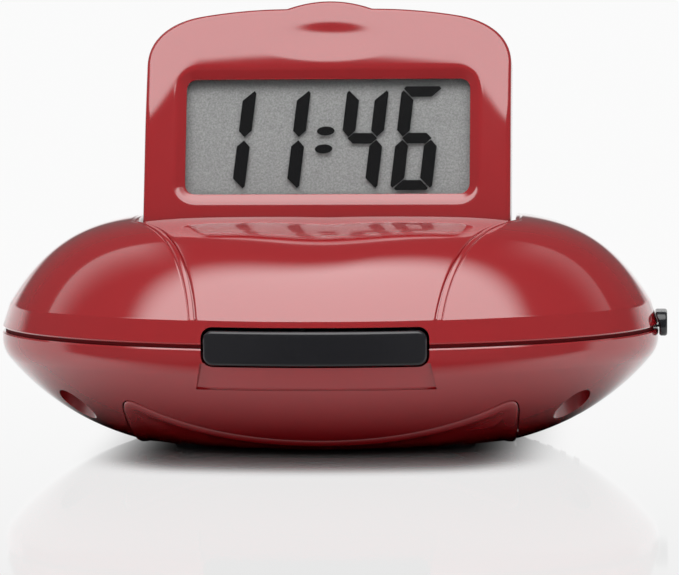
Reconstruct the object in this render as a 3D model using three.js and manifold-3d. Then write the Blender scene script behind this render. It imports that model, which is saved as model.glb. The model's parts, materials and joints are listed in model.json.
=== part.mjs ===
// Portable digital alarm clock with a fold-down display and a built-in shaker motor.
// Millimetres, +Z up, the front faces -Y, and the origin is on the table under the middle of the body.
import * as THREE from 'three';
import { mergeVertices } from 'three/addons/utils/BufferGeometryUtils.js';
import Module from 'manifold-3d';

const wasm = await Module();
wasm.setup();

// Clearances
const FIT = 0.3;
const MOVE_FIT = 0.4;

// How far a cutting solid runs past the surface it cuts, and how far joined solids run into each other
const PAST = 1;
const JOIN = 0.5;

// Sides of round rods
const SIDES = 16;
const SMALL_SIDES = 12;
const LARGE_SIDES = 28;

// Oval body
const BODY_HALF_WIDTH = 68.8;
const BODY_HALF_DEPTH = 44.3;
const WALL = 2.2;
const OVAL_SEGMENTS = 40;
const PARTING_Z = 23.5;
const PARTING_GAP = 0.6;
const LIP_HEIGHT = 1.4;
const LIP_THICKNESS = 1.1;

// Upper shell: an upright band, a crease and a dome that is flatter towards its ends
const BAND_HEIGHT = 5.2;
const BAND_INSET = 1.6;
const DOME_RISE = 18.9;
const DOME_POWER_FRONT = 2.7;
const DOME_POWER_END = 6;
const DOME_RINGS = [1, 0.93, 0.85, 0.76, 0.65, 0.5, 0.28];

// Recessed middle section of the dome, between two curved seams
const RECESS_DEPTH = 0.6;
const RECESS_INSET = 0.4;
const SEAM_FRONT_X = 24;
const SEAM_REAR_X = 38.6;
const SEAM_FRONT_Y = -41;
const SEAM_REAR_Y = -8;
const SEAM_BEND_X = 25.3;
const SEAM_BEND_Y = -28.5;

// Lower shell: an edge radius and a wide bowl down to a flat bottom
const BOWL_EDGE_RADIUS = 6;
const BOWL_EDGE_DROP = 2.2;
const BOWL_RADIUS = 52;
const BOWL_DIP = 1.73;
const BOWL_STEPS = 4;
const FOOT_STAND = 0.6;

// Fold-down display
const HINGE_Y = -5;
const HINGE_DROP = 5.6;
const DISPLAY_LEAN = THREE.MathUtils.degToRad(17.5);
const DISPLAY_FOLD = THREE.MathUtils.degToRad(81);
const PANEL_HALF_WIDTH = 38.3;
const PANEL_HEIGHT = 49.3;
const PANEL_FRONT = 3.6;
const PANEL_BACK = 5;
const PANEL_CROWN = 1.7;
const PANEL_CORNER = 10.5;
const CORNER_HANDLE = 0.58;
const PANEL_TOP_ROUND = 2;
const PANEL_TOP_FALL = 12;
const PANEL_SIDE_FIT = 0.9;
const TAB_HALF_WIDTH = 9;
const TAB_RISE = 1.7;
const WINDOW_SIDE = 8.6;
const WINDOW_LOW = 9.2;
const WINDOW_HIGH = 33.9;
const WINDOW_BEVEL = 1.9;
const WINDOW_BEVEL_DEPTH = 1.6;
const BEZEL_FACE = 1.4;
const PANEL_SPLIT = 2.2;
const COVER_FACE = 1.4;
const LENS_THICKNESS = 1;
const GLASS_THICKNESS = 1.4;
const LIGHT_THICKNESS = 0.8;
const CIRCUIT_THICKNESS = 1;
const STACK_BORDER = 2.4;
const PIN_RADIUS = 1.5;
const PIN_LENGTH = 8;
const PIN_BORE_FIT = 0.2;
const PANEL_SCREW_EDGE = 2.9;
const PANEL_SCREW_LOW = 8;
const PANEL_SCREW_HIGH = 34;
const PANEL_SCREW_RADIUS = 0.8;
const PANEL_SCREW_HEAD = 1.5;
const PANEL_SCREW_HEAD_HEIGHT = 0.7;
const PANEL_SCREW_LENGTH = 5.2;
const PANEL_SCREW_SINK = 1.2;

// Lead to the display: its bends are [x, z] from the outer end of the left hinge boss
const LEAD_RADIUS = 0.6;
const LEAD_START = 4;
const LEAD_LIFT = 2;
const LEAD_BENDS = [[7, -10.4], [-1.2, -7.8], [-2.8, -4.5], [-2.6, -1.6], [-0.8, 0]];
const LEAD_STEPS = 20;
const LEAD_SLOT = 3;

// Snooze bar and the finger scoop below it
const SNOOZE_HALF_WIDTH = 22.6;
const SNOOZE_LOW = 19.4;
const SNOOZE_HIGH = 27.1;
const SNOOZE_PROUD = 0.4;
const SNOOZE_DEPTH = 5.6;
const SNOOZE_EAR = 2.2;
const SNOOZE_EAR_DEPTH = 1.6;
const SNOOZE_EAR_STEP = 1;
const SNOOZE_ROOM = 2;
const SNOOZE_TRAVEL = 1.2;
const SNOOZE_SWITCH_WIDTH = 7;
const SNOOZE_SWITCH_HEIGHT = 4.3;
const SNOOZE_SWITCH_DEPTH = 6.2;
const SNOOZE_SWITCH_NUB = 1.6;
const SCOOP_HALF_WIDTH = 23.8;
const SCOOP_LOW = 14.6;
const SCOOP_TOP_DEPTH = 1.1;
const SCOOP_FOOT_DEPTH = 0.25;

// Alarm mode slide switch in the right-hand end
const MODE_PROUD = 1.8;
const MODE_HALF_LENGTH = 5.5;
const MODE_LOW = 21.6;
const MODE_HIGH = 27.2;
const MODE_TRAVEL = 2.5;
const MODE_STEM_HALF = 1.5;
const MODE_STEM_HEIGHT = 2;
const MODE_STEM_LENGTH = 5.4;
const MODE_STEM_REACH = 2.4;
const MODE_SLOT_DEPTH = 8;
const MODE_BODY_DEPTH = 6;
const MODE_BODY_HALF = 6.5;
const MODE_BODY_HEIGHT = 6;
const MODE_TRACK_DEPTH = 3;
const MODE_TRACK_HEIGHT = 3;

// Set buttons in the rear of the lower shell
const SET_NAMES = ['time', 'alarm', 'hour', 'minute'];
const SET_PITCH = 12;
const SET_WIDTH = 7;
const SET_HEIGHT = 3.6;
const SET_Z = 18.6;
const SET_PROUD = 0.7;
const SET_DEPTH = 4.6;
const SET_FLANGE = 0.9;
const SET_FLANGE_DEPTH = 1.2;
const SET_TRAVEL = 0.6;
const SET_HOLE_DEPTH = 9;
const SET_BOARD_BORDER = 1.2;
const SET_BOARD_THICKNESS = 1.2;
const SET_SWITCH_WIDTH = 5;
const SET_SWITCH_HEIGHT = 4;
const SET_SWITCH_DEPTH = 3.5;
const SET_SWITCH_NUB = 1.2;

// Case screws, each in a deep well
const SCREW_END = 17.8;
const SCREW_Y = 17.8;
const WELL_RADIUS = 3.3;
const WELL_COVER = 3.66;
const SCREW_RADIUS = 1.4;
const SCREW_HEAD_RADIUS = 2.7;
const SCREW_HEAD_HEIGHT = 2;
const SCREW_LENGTH = 15;
const SCREW_TIP_ROOM = 1;
const BOSS_RADIUS = 4;
const WELL_WALL = 1.6;

// Four AA cells side by side under the main board
const CELL_RADIUS = 7.25;
const CELL_LENGTH = 49.2;
const CELL_NUB_RADIUS = 2.6;
const CELL_NUB_LENGTH = 1.3;
const CELL_PITCH = 14.9;
const CELL_LIFT = 0.79;
const CELL_COUNT = 4;
const CONTACT_ROOM = 3;
const CONTACT_THICKNESS = 0.5;
const CONTACT_WIDTH = 9;
const SPRING_WIRE = 0.45;
const SPRING_RADIUS = 3.5;
const SPRING_TURNS = 2.5;
const SPRING_STEPS = 8;
const SPRING_TAPER = 0.35;
const ROOM_WALL = 1.6;

// Battery cover, which the clock stands on
const COVER_MARGIN_FRONT = 10.6;
const COVER_MARGIN_REAR = 6.6;
const COVER_MARGIN_DEPTH = 5.15;
const COVER_CORNER = 4;
const COVER_THICKNESS = 2.4;
const COVER_GROOVE = 0.45;
const COVER_FLOOR = 1.6;
const COVER_TAB_WIDTH = 12;
const COVER_TAB_HEIGHT = 3;
const COVER_TAB_THICKNESS = 1.2;
const FOOT_RADIUS = 4;
const FOOT_SEAT = 0.8;
const FOOT_X = 27;
const FOOT_Y = 15;

// Electronics and shaker
const BOARD_HALF_WIDTH = 29;
const BOARD_THICKNESS = 1.6;
const BOARD_POST = 1.6;
const BOARD_POST_RADIUS = 2.2;
const BOARD_POST_EDGE = 5;
const BOARD_ARM_HALF = 8;
const CHIP_WIDTH = 14;
const CHIP_HEIGHT = 1.8;
const MOTOR_SIDE = 7.7;
const MOTOR_DROP = 18;
const MOTOR_RADIUS = 8;
const MOTOR_FRONT = -2.5;
const MOTOR_LENGTH = 15;
const MOTOR_BEARING_RADIUS = 3;
const MOTOR_BEARING_LENGTH = 1;
const MOTOR_END_WALL = 2;
const SHAFT_RADIUS = 1;
const WEIGHT_RADIUS = 8.2;
const WEIGHT_HUB = 2.4;
const WEIGHT_LENGTH = 6.4;
const WEIGHT_GAP = 2;
const SHAFT_PROUD = 0.6;
const SHAFT_END_ROOM = 2;
const STRAP_WIDTH = 5;
const STRAP_OFFSET = 4;
const STRAP_LEG = 1;
const STRAP_THICKNESS = 0.9;
const CRADLE_HALF_WIDTH = 9.4;
const CRADLE_SETBACK = 1;
const SPEAKER_SHIFT = 4.2;
const SPEAKER_RADIUS = 11;
const SPEAKER_HEIGHT = 5;
const SPEAKER_SEAT_Z = 13;
const SPEAKER_SEAT_WALL = 1.6;
const SPEAKER_RIM = 2;
const SPEAKER_MAGNET_RADIUS = 6;
const SPEAKER_MAGNET_HEIGHT = 1.6;
const SLOT_COUNT = 5;
const SLOT_PITCH = 2.8;
const SLOT_WIDTH = 1.2;
const SLOT_HALF_LENGTH = 6;

// Materials
const RED = { color: 0x9b2f36, roughness: 0.2, metalness: 0 };
const BLACK = { color: 0x28272c, roughness: 0.5, metalness: 0 };
const CLEAR = { color: 0xe4e8e6, roughness: 0.05, metalness: 0 };
const LCD_GREY = { color: 0x929292, roughness: 0.3, metalness: 0 };
const WHITE = { color: 0xeeeeea, roughness: 0.5, metalness: 0 };
const CIRCUIT_GREEN = { color: 0x1f6a3d, roughness: 0.5, metalness: 0 };
const STEEL = { color: 0xb4b6b8, roughness: 0.3, metalness: 1 };
const BRASS = { color: 0xc2a14e, roughness: 0.35, metalness: 1 };
const RUBBER = { color: 0x1c1c1e, roughness: 0.9, metalness: 0 };
const CELL_GREEN = { color: 0x2f5d3a, roughness: 0.35, metalness: 0.2 };

const AXIS_X = new THREE.Vector3(1, 0, 0);
const AXIS_Y = new THREE.Vector3(0, 1, 0);
const AXIS_Z = new THREE.Vector3(0, 0, 1);
const FAR = 200;

// Solids from three.js geometry

function signedVolume(positions, triangles) {
  const [a, b, c] = [new THREE.Vector3(), new THREE.Vector3(), new THREE.Vector3()];
  let sum = 0;
  for (let i = 0; i < triangles.length; i += 3) {
    a.fromArray(positions, 3 * triangles[i]);
    b.fromArray(positions, 3 * triangles[i + 1]);
    c.fromArray(positions, 3 * triangles[i + 2]);
    sum += a.dot(b.cross(c));
  }
  return sum / 6;
}

function solid(geometry) {
  const bare = geometry.clone();
  bare.deleteAttribute('normal');
  bare.deleteAttribute('uv');
  const merged = mergeVertices(bare, 1e-4);
  const positions = merged.attributes.position.array;
  const kept = [];
  const index = merged.index.array;
  for (let i = 0; i < index.length; i += 3) {
    const [a, b, c] = index.slice(i, i + 3);
    if (a !== b && b !== c && c !== a) kept.push(a, b, c);
  }
  if (signedVolume(positions, kept) < 0) kept.reverse();
  return new wasm.Manifold(new wasm.Mesh({
    numProp: 3,
    vertProperties: new Float32Array(positions),
    triVerts: new Uint32Array(kept),
  }));
}

function geometryOf(manifold) {
  const mesh = manifold.getMesh();
  const geometry = new THREE.BufferGeometry();
  geometry.setAttribute('position', new THREE.BufferAttribute(mesh.vertProperties, 3));
  geometry.setIndex(new THREE.BufferAttribute(mesh.triVerts, 1));
  geometry.computeVertexNormals();
  return geometry;
}

function part(name, manifold, look) {
  const mesh = new THREE.Mesh(geometryOf(manifold), new THREE.MeshStandardMaterial(look));
  mesh.name = name;
  return mesh;
}

function box(x0, x1, y0, y1, z0, z1) {
  const geometry = new THREE.BoxGeometry(x1 - x0, y1 - y0, z1 - z0);
  return solid(geometry.translate((x0 + x1) / 2, (y0 + y1) / 2, (z0 + z1) / 2));
}

function rodX(radius, x0, x1, y, z, sides = SIDES) {
  const geometry = new THREE.CylinderGeometry(radius, radius, x1 - x0, sides).rotateZ(Math.PI / 2);
  return solid(geometry.translate((x0 + x1) / 2, y, z));
}

function rodY(radius, y0, y1, x, z, sides = SIDES) {
  const geometry = new THREE.CylinderGeometry(radius, radius, y1 - y0, sides);
  return solid(geometry.translate(x, (y0 + y1) / 2, z));
}

function rodZ(radius, z0, z1, x, y, sides = SIDES) {
  const geometry = new THREE.CylinderGeometry(radius, radius, z1 - z0, sides).rotateX(Math.PI / 2);
  return solid(geometry.translate(x, y, (z0 + z1) / 2));
}

function extruded(shape, length, axes, start, curveSegments = 8) {
  const geometry = new THREE.ExtrudeGeometry(shape, {
    depth: length, bevelEnabled: false, curveSegments,
  });
  geometry.applyMatrix4(new THREE.Matrix4().makeBasis(...axes));
  return solid(geometry.translate(start.x, start.y, start.z));
}

// A shape drawn in (x, y), standing from z0 to z1
function slabZ(shape, z0, z1) {
  return extruded(shape, z1 - z0, [AXIS_X, AXIS_Y, AXIS_Z], new THREE.Vector3(0, 0, z0));
}

// A shape drawn in (x, z), running from y0 to y1
function slabY(shape, y0, y1) {
  const back = AXIS_Y.clone().negate();
  return extruded(shape, y1 - y0, [AXIS_X, AXIS_Z, back], new THREE.Vector3(0, y1, 0));
}

// A shape drawn in (y, z), running from x0 to x1
function slabX(shape, x0, x1) {
  return extruded(shape, x1 - x0, [AXIS_Y, AXIS_Z, AXIS_X], new THREE.Vector3(x0, 0, 0));
}

function polygon(points) {
  return new THREE.Shape(points.map(([x, y]) => new THREE.Vector2(x, y)));
}

// Oval body surfaces

const CREASE_Z = PARTING_Z + BAND_HEIGHT;
const UPPER_EDGE = PARTING_Z + PARTING_GAP / 2;
const LOWER_EDGE = PARTING_Z - PARTING_GAP / 2;

function ovalSolid(profile, halfWidth, halfDepth) {
  const points = profile.map(([radius, z]) => new THREE.Vector2(radius, z));
  const geometry = new THREE.LatheGeometry(points, OVAL_SEGMENTS).rotateX(Math.PI / 2);
  return geometry.scale(1, halfDepth / halfWidth, 1);
}

// An upright oval ring wall or plug, inset from the body's widest outline
function ovalPlug(inset, z0, z1) {
  const halfWidth = BODY_HALF_WIDTH - inset;
  const profile = [[0, z0], [halfWidth, z0], [halfWidth, z1], [0, z1]];
  return solid(ovalSolid(profile, halfWidth, BODY_HALF_DEPTH - inset));
}

function domeDrop(x, y, halfWidth, halfDepth) {
  const across = (x / halfWidth) ** 2;
  const along = (y / halfDepth) ** 2;
  const squared = across + along;
  if (squared < 1e-9) return 0;
  const power = DOME_POWER_FRONT + (DOME_POWER_END - DOME_POWER_FRONT) * across / squared;
  return squared ** (power / 2);
}

// The dome and its band down to z0: inset grows inwards, sink lowers the whole dome
function upperOval(inset, creaseDrop, sink, z0) {
  const halfWidth = BODY_HALF_WIDTH - inset;
  const halfDepth = BODY_HALF_DEPTH - inset;
  const creaseHalf = halfWidth - BAND_INSET;
  const creaseDepth = creaseHalf * halfDepth / halfWidth;
  const creaseZ = CREASE_Z - creaseDrop;
  const rise = DOME_RISE - sink + creaseDrop;
  const rings = DOME_RINGS.map((ring) => [creaseHalf * ring, creaseZ]);
  const profile = [[0, z0], [halfWidth, z0], [halfWidth, UPPER_EDGE], ...rings, [0, creaseZ]];
  const used = z0 < UPPER_EDGE ? profile : profile.filter((point, i) => i !== 2);
  const geometry = ovalSolid(used, halfWidth, halfDepth);
  const position = geometry.attributes.position;
  for (let i = 0; i < position.count; i += 1) {
    if (position.getZ(i) < creaseZ - 1e-3) continue;
    const drop = domeDrop(position.getX(i), position.getY(i), creaseHalf, creaseDepth);
    position.setZ(i, creaseZ + rise * Math.max(0, 1 - drop));
  }
  return solid(geometry);
}

// Centres of the bowl's edge radius and of its wide arc
const BOWL_EDGE_X = BODY_HALF_WIDTH - BOWL_EDGE_RADIUS;
const BOWL_EDGE_Z = PARTING_Z - BOWL_EDGE_DROP;
const BOWL_Z = FOOT_STAND - BOWL_DIP + BOWL_RADIUS;
const BOWL_TURN = Math.acos((BOWL_Z - BOWL_EDGE_Z) / (BOWL_RADIUS - BOWL_EDGE_RADIUS));
const BOWL_X = BOWL_EDGE_X - (BOWL_RADIUS - BOWL_EDGE_RADIUS) * Math.sin(BOWL_TURN);

// Height of the bowl's wide arc, grown inwards by inset, at a plan point
function bowlHeight(x, y, inset) {
  const stretch = (BODY_HALF_WIDTH - inset) / (BODY_HALF_DEPTH - inset);
  const out = Math.hypot(x, y * stretch) - BOWL_X;
  return BOWL_Z - Math.sqrt((BOWL_RADIUS - inset) ** 2 - out ** 2);
}

// The bowl's profile, grown inwards by inset, as [radius, z] from the flat bottom to the edge
function bowlProfile(inset, top) {
  const edge = BOWL_EDGE_RADIUS - inset;
  const bowl = BOWL_RADIUS - inset;
  const flatZ = FOOT_STAND + inset;
  const flatTurn = Math.acos((BOWL_Z - flatZ) / bowl);
  const points = [[0, flatZ]];
  for (let i = 0; i <= BOWL_STEPS; i += 1) {
    const turn = THREE.MathUtils.lerp(flatTurn, BOWL_TURN, i / BOWL_STEPS);
    points.push([BOWL_X + bowl * Math.sin(turn), BOWL_Z - bowl * Math.cos(turn)]);
  }
  for (const turn of [0.5, 1].map((t) => THREE.MathUtils.lerp(BOWL_TURN, Math.PI / 2, t))) {
    points.push([BOWL_EDGE_X + edge * Math.sin(turn), BOWL_EDGE_Z - edge * Math.cos(turn)]);
  }
  return [...points, [BOWL_EDGE_X + edge, top], [0, top]];
}

function lowerOval(inset, top) {
  const halfWidth = BODY_HALF_WIDTH - inset;
  return solid(ovalSolid(bowlProfile(inset, top), halfWidth, BODY_HALF_DEPTH - inset));
}

// Pocket behind the front section for the hinge and the folded display, grown by a wall
const HINGE_Z = CREASE_Z + DOME_RISE - HINGE_DROP;
const HINGE_SLOPE = DISPLAY_LEAN + DISPLAY_FOLD - Math.PI / 2;
const HINGE_BOSS_END = PANEL_HALF_WIDTH + PANEL_SIDE_FIT + WALL + PIN_LENGTH / 4;

function pocket(grow) {
  const radius = PANEL_BACK + MOVE_FIT + grow;
  const front = HINGE_Y - PANEL_FRONT / Math.cos(DISPLAY_LEAN) - MOVE_FIT - grow;
  const half = PANEL_HALF_WIDTH + PANEL_SIDE_FIT + grow;
  const frontTurn = Math.acos((HINGE_Y - front) / radius);
  const shape = new THREE.Shape();
  shape.moveTo(front + Math.tan(DISPLAY_LEAN) * (FAR - HINGE_Z), FAR);
  shape.lineTo(front, HINGE_Z);
  shape.lineTo(front, HINGE_Z - radius * Math.sin(frontTurn));
  shape.absarc(HINGE_Y, HINGE_Z, radius, Math.PI + frontTurn, 1.5 * Math.PI - HINGE_SLOPE, false);
  const tangent = shape.currentPoint;
  shape.lineTo(tangent.x + FAR, tangent.y - FAR * Math.tan(HINGE_SLOPE));
  shape.lineTo(tangent.x + FAR, FAR);
  return slabX(shape, -half, half);
}

// Plan outline of the recessed middle section
function recessOutline() {
  const past = -BODY_HALF_DEPTH - PAST;
  const shape = new THREE.Shape();
  shape.moveTo(-SEAM_FRONT_X, past);
  shape.lineTo(SEAM_FRONT_X, past);
  shape.lineTo(SEAM_FRONT_X, SEAM_FRONT_Y);
  shape.quadraticCurveTo(SEAM_BEND_X, SEAM_BEND_Y, SEAM_REAR_X, SEAM_REAR_Y);
  shape.lineTo(-SEAM_REAR_X, SEAM_REAR_Y);
  shape.quadraticCurveTo(-SEAM_BEND_X, SEAM_BEND_Y, -SEAM_FRONT_X, SEAM_FRONT_Y);
  return shape;
}

// Openings shared by the two shells

function snoozeOpening() {
  const half = SNOOZE_HALF_WIDTH + MOVE_FIT;
  const rear = -BODY_HALF_DEPTH + SNOOZE_DEPTH + SNOOZE_TRAVEL + SNOOZE_ROOM;
  const low = SNOOZE_LOW - MOVE_FIT;
  const high = SNOOZE_HIGH + MOVE_FIT;
  const window = box(-half, half, -FAR, rear, low, high);
  const earHalf = half + SNOOZE_EAR;
  const earFront = ovalPlug(SNOOZE_DEPTH - SNOOZE_EAR_DEPTH - FIT, 0, FAR);
  const earRoom = box(-earHalf, earHalf, -FAR, rear, low, high);
  return window.add(earRoom.intersect(earFront));
}

const MODE_MIDDLE = (MODE_LOW + MODE_HIGH) / 2;

function modeSlot() {
  const half = MODE_STEM_HALF + MODE_TRAVEL + MOVE_FIT;
  const tall = MODE_STEM_HEIGHT / 2 + MOVE_FIT;
  const inner = BODY_HALF_WIDTH - MODE_SLOT_DEPTH;
  return box(inner, FAR, -half, half, MODE_MIDDLE - tall, MODE_MIDDLE + tall);
}

const SCREW_X = BODY_HALF_WIDTH - SCREW_END;
const WELL_SIDE = WELL_RADIUS / Math.SQRT2;
const WELL_FLOOR = bowlHeight(SCREW_X + WELL_SIDE, SCREW_Y + WELL_SIDE, 0) + WELL_COVER;
const SCREW_SPOTS = [
  ['front_left', -SCREW_X, -SCREW_Y],
  ['front_right', SCREW_X, -SCREW_Y],
  ['rear_left', -SCREW_X, SCREW_Y],
  ['rear_right', SCREW_X, SCREW_Y],
];

function upperShell() {
  const outer = upperOval(0, 0, 0, UPPER_EDGE);
  const room = upperOval(WALL, WALL / 2, WALL, UPPER_EDGE - PAST);
  const lipOuter = ovalPlug(WALL + FIT, LOWER_EDGE - LIP_HEIGHT, CREASE_Z - LIP_THICKNESS);
  const lipInner = ovalPlug(WALL + FIT + LIP_THICKNESS, 0, FAR);
  const recessFloor = upperOval(RECESS_INSET, 0, RECESS_DEPTH, UPPER_EDGE - PAST);
  const recess = slabZ(recessOutline(), CREASE_Z, FAR).subtract(recessFloor);
  let shell = outer.subtract(room.subtract(pocket(WALL)));
  shell = shell.add(lipOuter.subtract(lipInner));
  for (const [, x, y] of SCREW_SPOTS) {
    const post = rodZ(BOSS_RADIUS, UPPER_EDGE, FAR, x, y).intersect(outer);
    shell = shell.add(post);
  }
  for (const side of [-1, 1]) {
    const near = side * (PANEL_HALF_WIDTH + PANEL_SIDE_FIT);
    const far = side * HINGE_BOSS_END;
    const boss = rodX(PIN_RADIUS + WALL, Math.min(near, far), Math.max(near, far), HINGE_Y, HINGE_Z);
    shell = shell.add(boss.intersect(outer));
  }
  shell = shell.subtract(pocket(0)).subtract(recess);
  const bore = PANEL_HALF_WIDTH + PIN_LENGTH;
  shell = shell.subtract(rodX(PIN_RADIUS + PIN_BORE_FIT, -bore, bore, HINGE_Y, HINGE_Z));
  for (const [, x, y] of SCREW_SPOTS) {
    const top = WELL_FLOOR + SCREW_LENGTH + SCREW_TIP_ROOM;
    shell = shell.subtract(rodZ(SCREW_RADIUS + FIT, 0, top, x, y, SMALL_SIDES));
  }
  return shell.subtract(snoozeOpening()).subtract(modeSlot());
}

// Lower shell with the battery room, the screw wells and the speaker seat

const ROOM_HALF_WIDTH = CELL_PITCH * (CELL_COUNT - 1) / 2 + CELL_RADIUS + MOVE_FIT;
const ROOM_HALF_DEPTH = CELL_LENGTH / 2 + CONTACT_ROOM;
const CONTACT_CORNER = CELL_PITCH * (CELL_COUNT - 1) / 2 + CONTACT_WIDTH / 2;
const CONTACT_LOW = bowlHeight(CONTACT_CORNER, ROOM_HALF_DEPTH - FIT, COVER_THICKNESS) + CELL_LIFT;
const CELL_Z = CONTACT_LOW + CONTACT_WIDTH / 2;
const ROOM_TOP = CELL_Z + CELL_RADIUS + MOVE_FIT;
const BOARD_Z = ROOM_TOP + ROOM_WALL + BOARD_POST;
const BOARD_HALF_DEPTH = ROOM_HALF_DEPTH + ROOM_WALL;
const SPEAKER_X = (ROOM_HALF_WIDTH + ROOM_WALL + BODY_HALF_WIDTH) / 2 - SPEAKER_SHIFT;

const COVER_HALF_FRONT = ROOM_HALF_WIDTH + COVER_MARGIN_FRONT;
const COVER_HALF_REAR = ROOM_HALF_WIDTH + COVER_MARGIN_REAR;
const COVER_HALF_DEPTH = (BODY_HALF_DEPTH + ROOM_HALF_DEPTH) / 2 - COVER_MARGIN_DEPTH;

function coverOutline(grow) {
  const front = -COVER_HALF_DEPTH - grow;
  const rear = COVER_HALF_DEPTH + grow;
  const wide = COVER_HALF_FRONT + grow;
  const narrow = COVER_HALF_REAR + grow;
  const corner = COVER_CORNER + grow;
  const slant = (wide - narrow) * corner / (rear - front);
  const shape = new THREE.Shape();
  shape.moveTo(-wide + corner, front);
  shape.lineTo(wide - corner, front);
  shape.quadraticCurveTo(wide, front, wide - slant, front + corner);
  shape.lineTo(narrow + slant, rear - corner);
  shape.quadraticCurveTo(narrow, rear, narrow - corner, rear);
  shape.lineTo(-narrow + corner, rear);
  shape.quadraticCurveTo(-narrow, rear, -narrow - slant, rear - corner);
  shape.lineTo(-wide + slant, front + corner);
  shape.quadraticCurveTo(-wide, front, -wide + corner, front);
  return shape;
}

function scoop() {
  const top = SNOOZE_LOW + MOVE_FIT;
  const topRadius = BODY_HALF_WIDTH - SCOOP_TOP_DEPTH;
  const foot = bowlProfile(0, LOWER_EDGE).filter(([, z]) => z < SCOOP_LOW).at(-1);
  const slope = (topRadius - foot[0]) / (top - foot[1]);
  const footRadius = topRadius - slope * (top - SCOOP_LOW) - SCOOP_FOOT_DEPTH;
  const profile = [[0, SCOOP_LOW], [footRadius, SCOOP_LOW], [topRadius, top], [0, top]];
  const core = solid(ovalSolid(profile, BODY_HALF_WIDTH, BODY_HALF_DEPTH));
  const bite = box(-SCOOP_HALF_WIDTH, SCOOP_HALF_WIDTH, -FAR, 0, SCOOP_LOW, top);
  return bite.subtract(core);
}

function setOpenings() {
  let cut = null;
  const half = SET_WIDTH / 2 + MOVE_FIT;
  const tall = SET_HEIGHT / 2 + MOVE_FIT;
  const inner = BODY_HALF_DEPTH - SET_HOLE_DEPTH;
  for (const x of setPlaces()) {
    const hole = box(x - half, x + half, inner, FAR, SET_Z - tall, SET_Z + tall);
    cut = cut ? cut.add(hole) : hole;
  }
  return cut;
}

function setPlaces() {
  return SET_NAMES.map((name, i) => (i - (SET_NAMES.length - 1) / 2) * SET_PITCH);
}

function lowerShell() {
  const outer = lowerOval(0, LOWER_EDGE);
  const room = lowerOval(WALL, LOWER_EDGE + PAST);
  const seat = lowerOval(COVER_THICKNESS + FIT, LOWER_EDGE + PAST);
  const floor = lowerOval(COVER_THICKNESS + FIT + COVER_FLOOR, LOWER_EDGE + PAST);
  const coverArea = slabZ(coverOutline(WALL), 0, LOWER_EDGE - LIP_HEIGHT - FIT);
  let shell = outer.subtract(room.subtract(coverArea.subtract(floor)));
  const wall = ROOM_WALL;
  const battery = box(-ROOM_HALF_WIDTH - wall, ROOM_HALF_WIDTH + wall,
    -ROOM_HALF_DEPTH - wall, ROOM_HALF_DEPTH + wall, 0, ROOM_TOP + wall);
  shell = shell.add(battery.intersect(lowerOval(0, FAR)));
  for (const [, x, y] of SCREW_SPOTS) {
    shell = shell.add(rodZ(WELL_RADIUS + WELL_WALL, 0, LOWER_EDGE, x, y).intersect(outer));
  }
  const seatRing = rodZ(SPEAKER_RADIUS + SPEAKER_SEAT_WALL, 0, SPEAKER_SEAT_Z + SPEAKER_RIM, SPEAKER_X, 0);
  const seatHole = rodZ(SPEAKER_RADIUS + FIT, SPEAKER_SEAT_Z - FIT, FAR, SPEAKER_X, 0);
  const soundWay = rodZ(SPEAKER_RADIUS - SPEAKER_SEAT_WALL, 0, FAR, SPEAKER_X, 0).intersect(floor);
  shell = shell.add(seatRing.intersect(outer)).subtract(seatHole).subtract(soundWay);
  for (const [x, y] of boardPosts()) {
    shell = shell.add(rodZ(BOARD_POST_RADIUS, ROOM_TOP + wall / 2, BOARD_Z - FIT, x, y, SMALL_SIDES));
  }
  shell = shell.subtract(slabZ(coverOutline(COVER_GROOVE), -PAST, LOWER_EDGE).subtract(seat));
  shell = shell.subtract(box(-ROOM_HALF_WIDTH, ROOM_HALF_WIDTH,
    -ROOM_HALF_DEPTH, ROOM_HALF_DEPTH, -PAST, ROOM_TOP));
  for (const [, x, y] of SCREW_SPOTS) {
    shell = shell.subtract(rodZ(WELL_RADIUS, -PAST, WELL_FLOOR, x, y));
    shell = shell.subtract(rodZ(SCREW_RADIUS + FIT, -PAST, FAR, x, y, SMALL_SIDES));
  }
  for (let i = 0; i < SLOT_COUNT; i += 1) {
    const x = SPEAKER_X + (i - (SLOT_COUNT - 1) / 2) * SLOT_PITCH;
    const half = SLOT_WIDTH / 2;
    shell = shell.subtract(box(x - half, x + half, -SLOT_HALF_LENGTH, SLOT_HALF_LENGTH,
      -PAST, SPEAKER_SEAT_Z - FIT));
  }
  shell = shell.subtract(scoop()).subtract(snoozeOpening());
  return shell.subtract(modeSlot()).subtract(setOpenings());
}

function boardPosts() {
  const x = BOARD_HALF_WIDTH - BOARD_POST_EDGE;
  const y = BOARD_HALF_DEPTH - BOARD_POST_EDGE;
  return [[-x, -y], [x, -y], [-x, y], [x, y]];
}

// Battery cover and its feet

function footSpots() {
  return [
    ['front_left', -FOOT_X, -FOOT_Y],
    ['front_right', FOOT_X, -FOOT_Y],
    ['rear_left', -FOOT_X, FOOT_Y],
    ['rear_right', FOOT_X, FOOT_Y],
  ];
}

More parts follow.
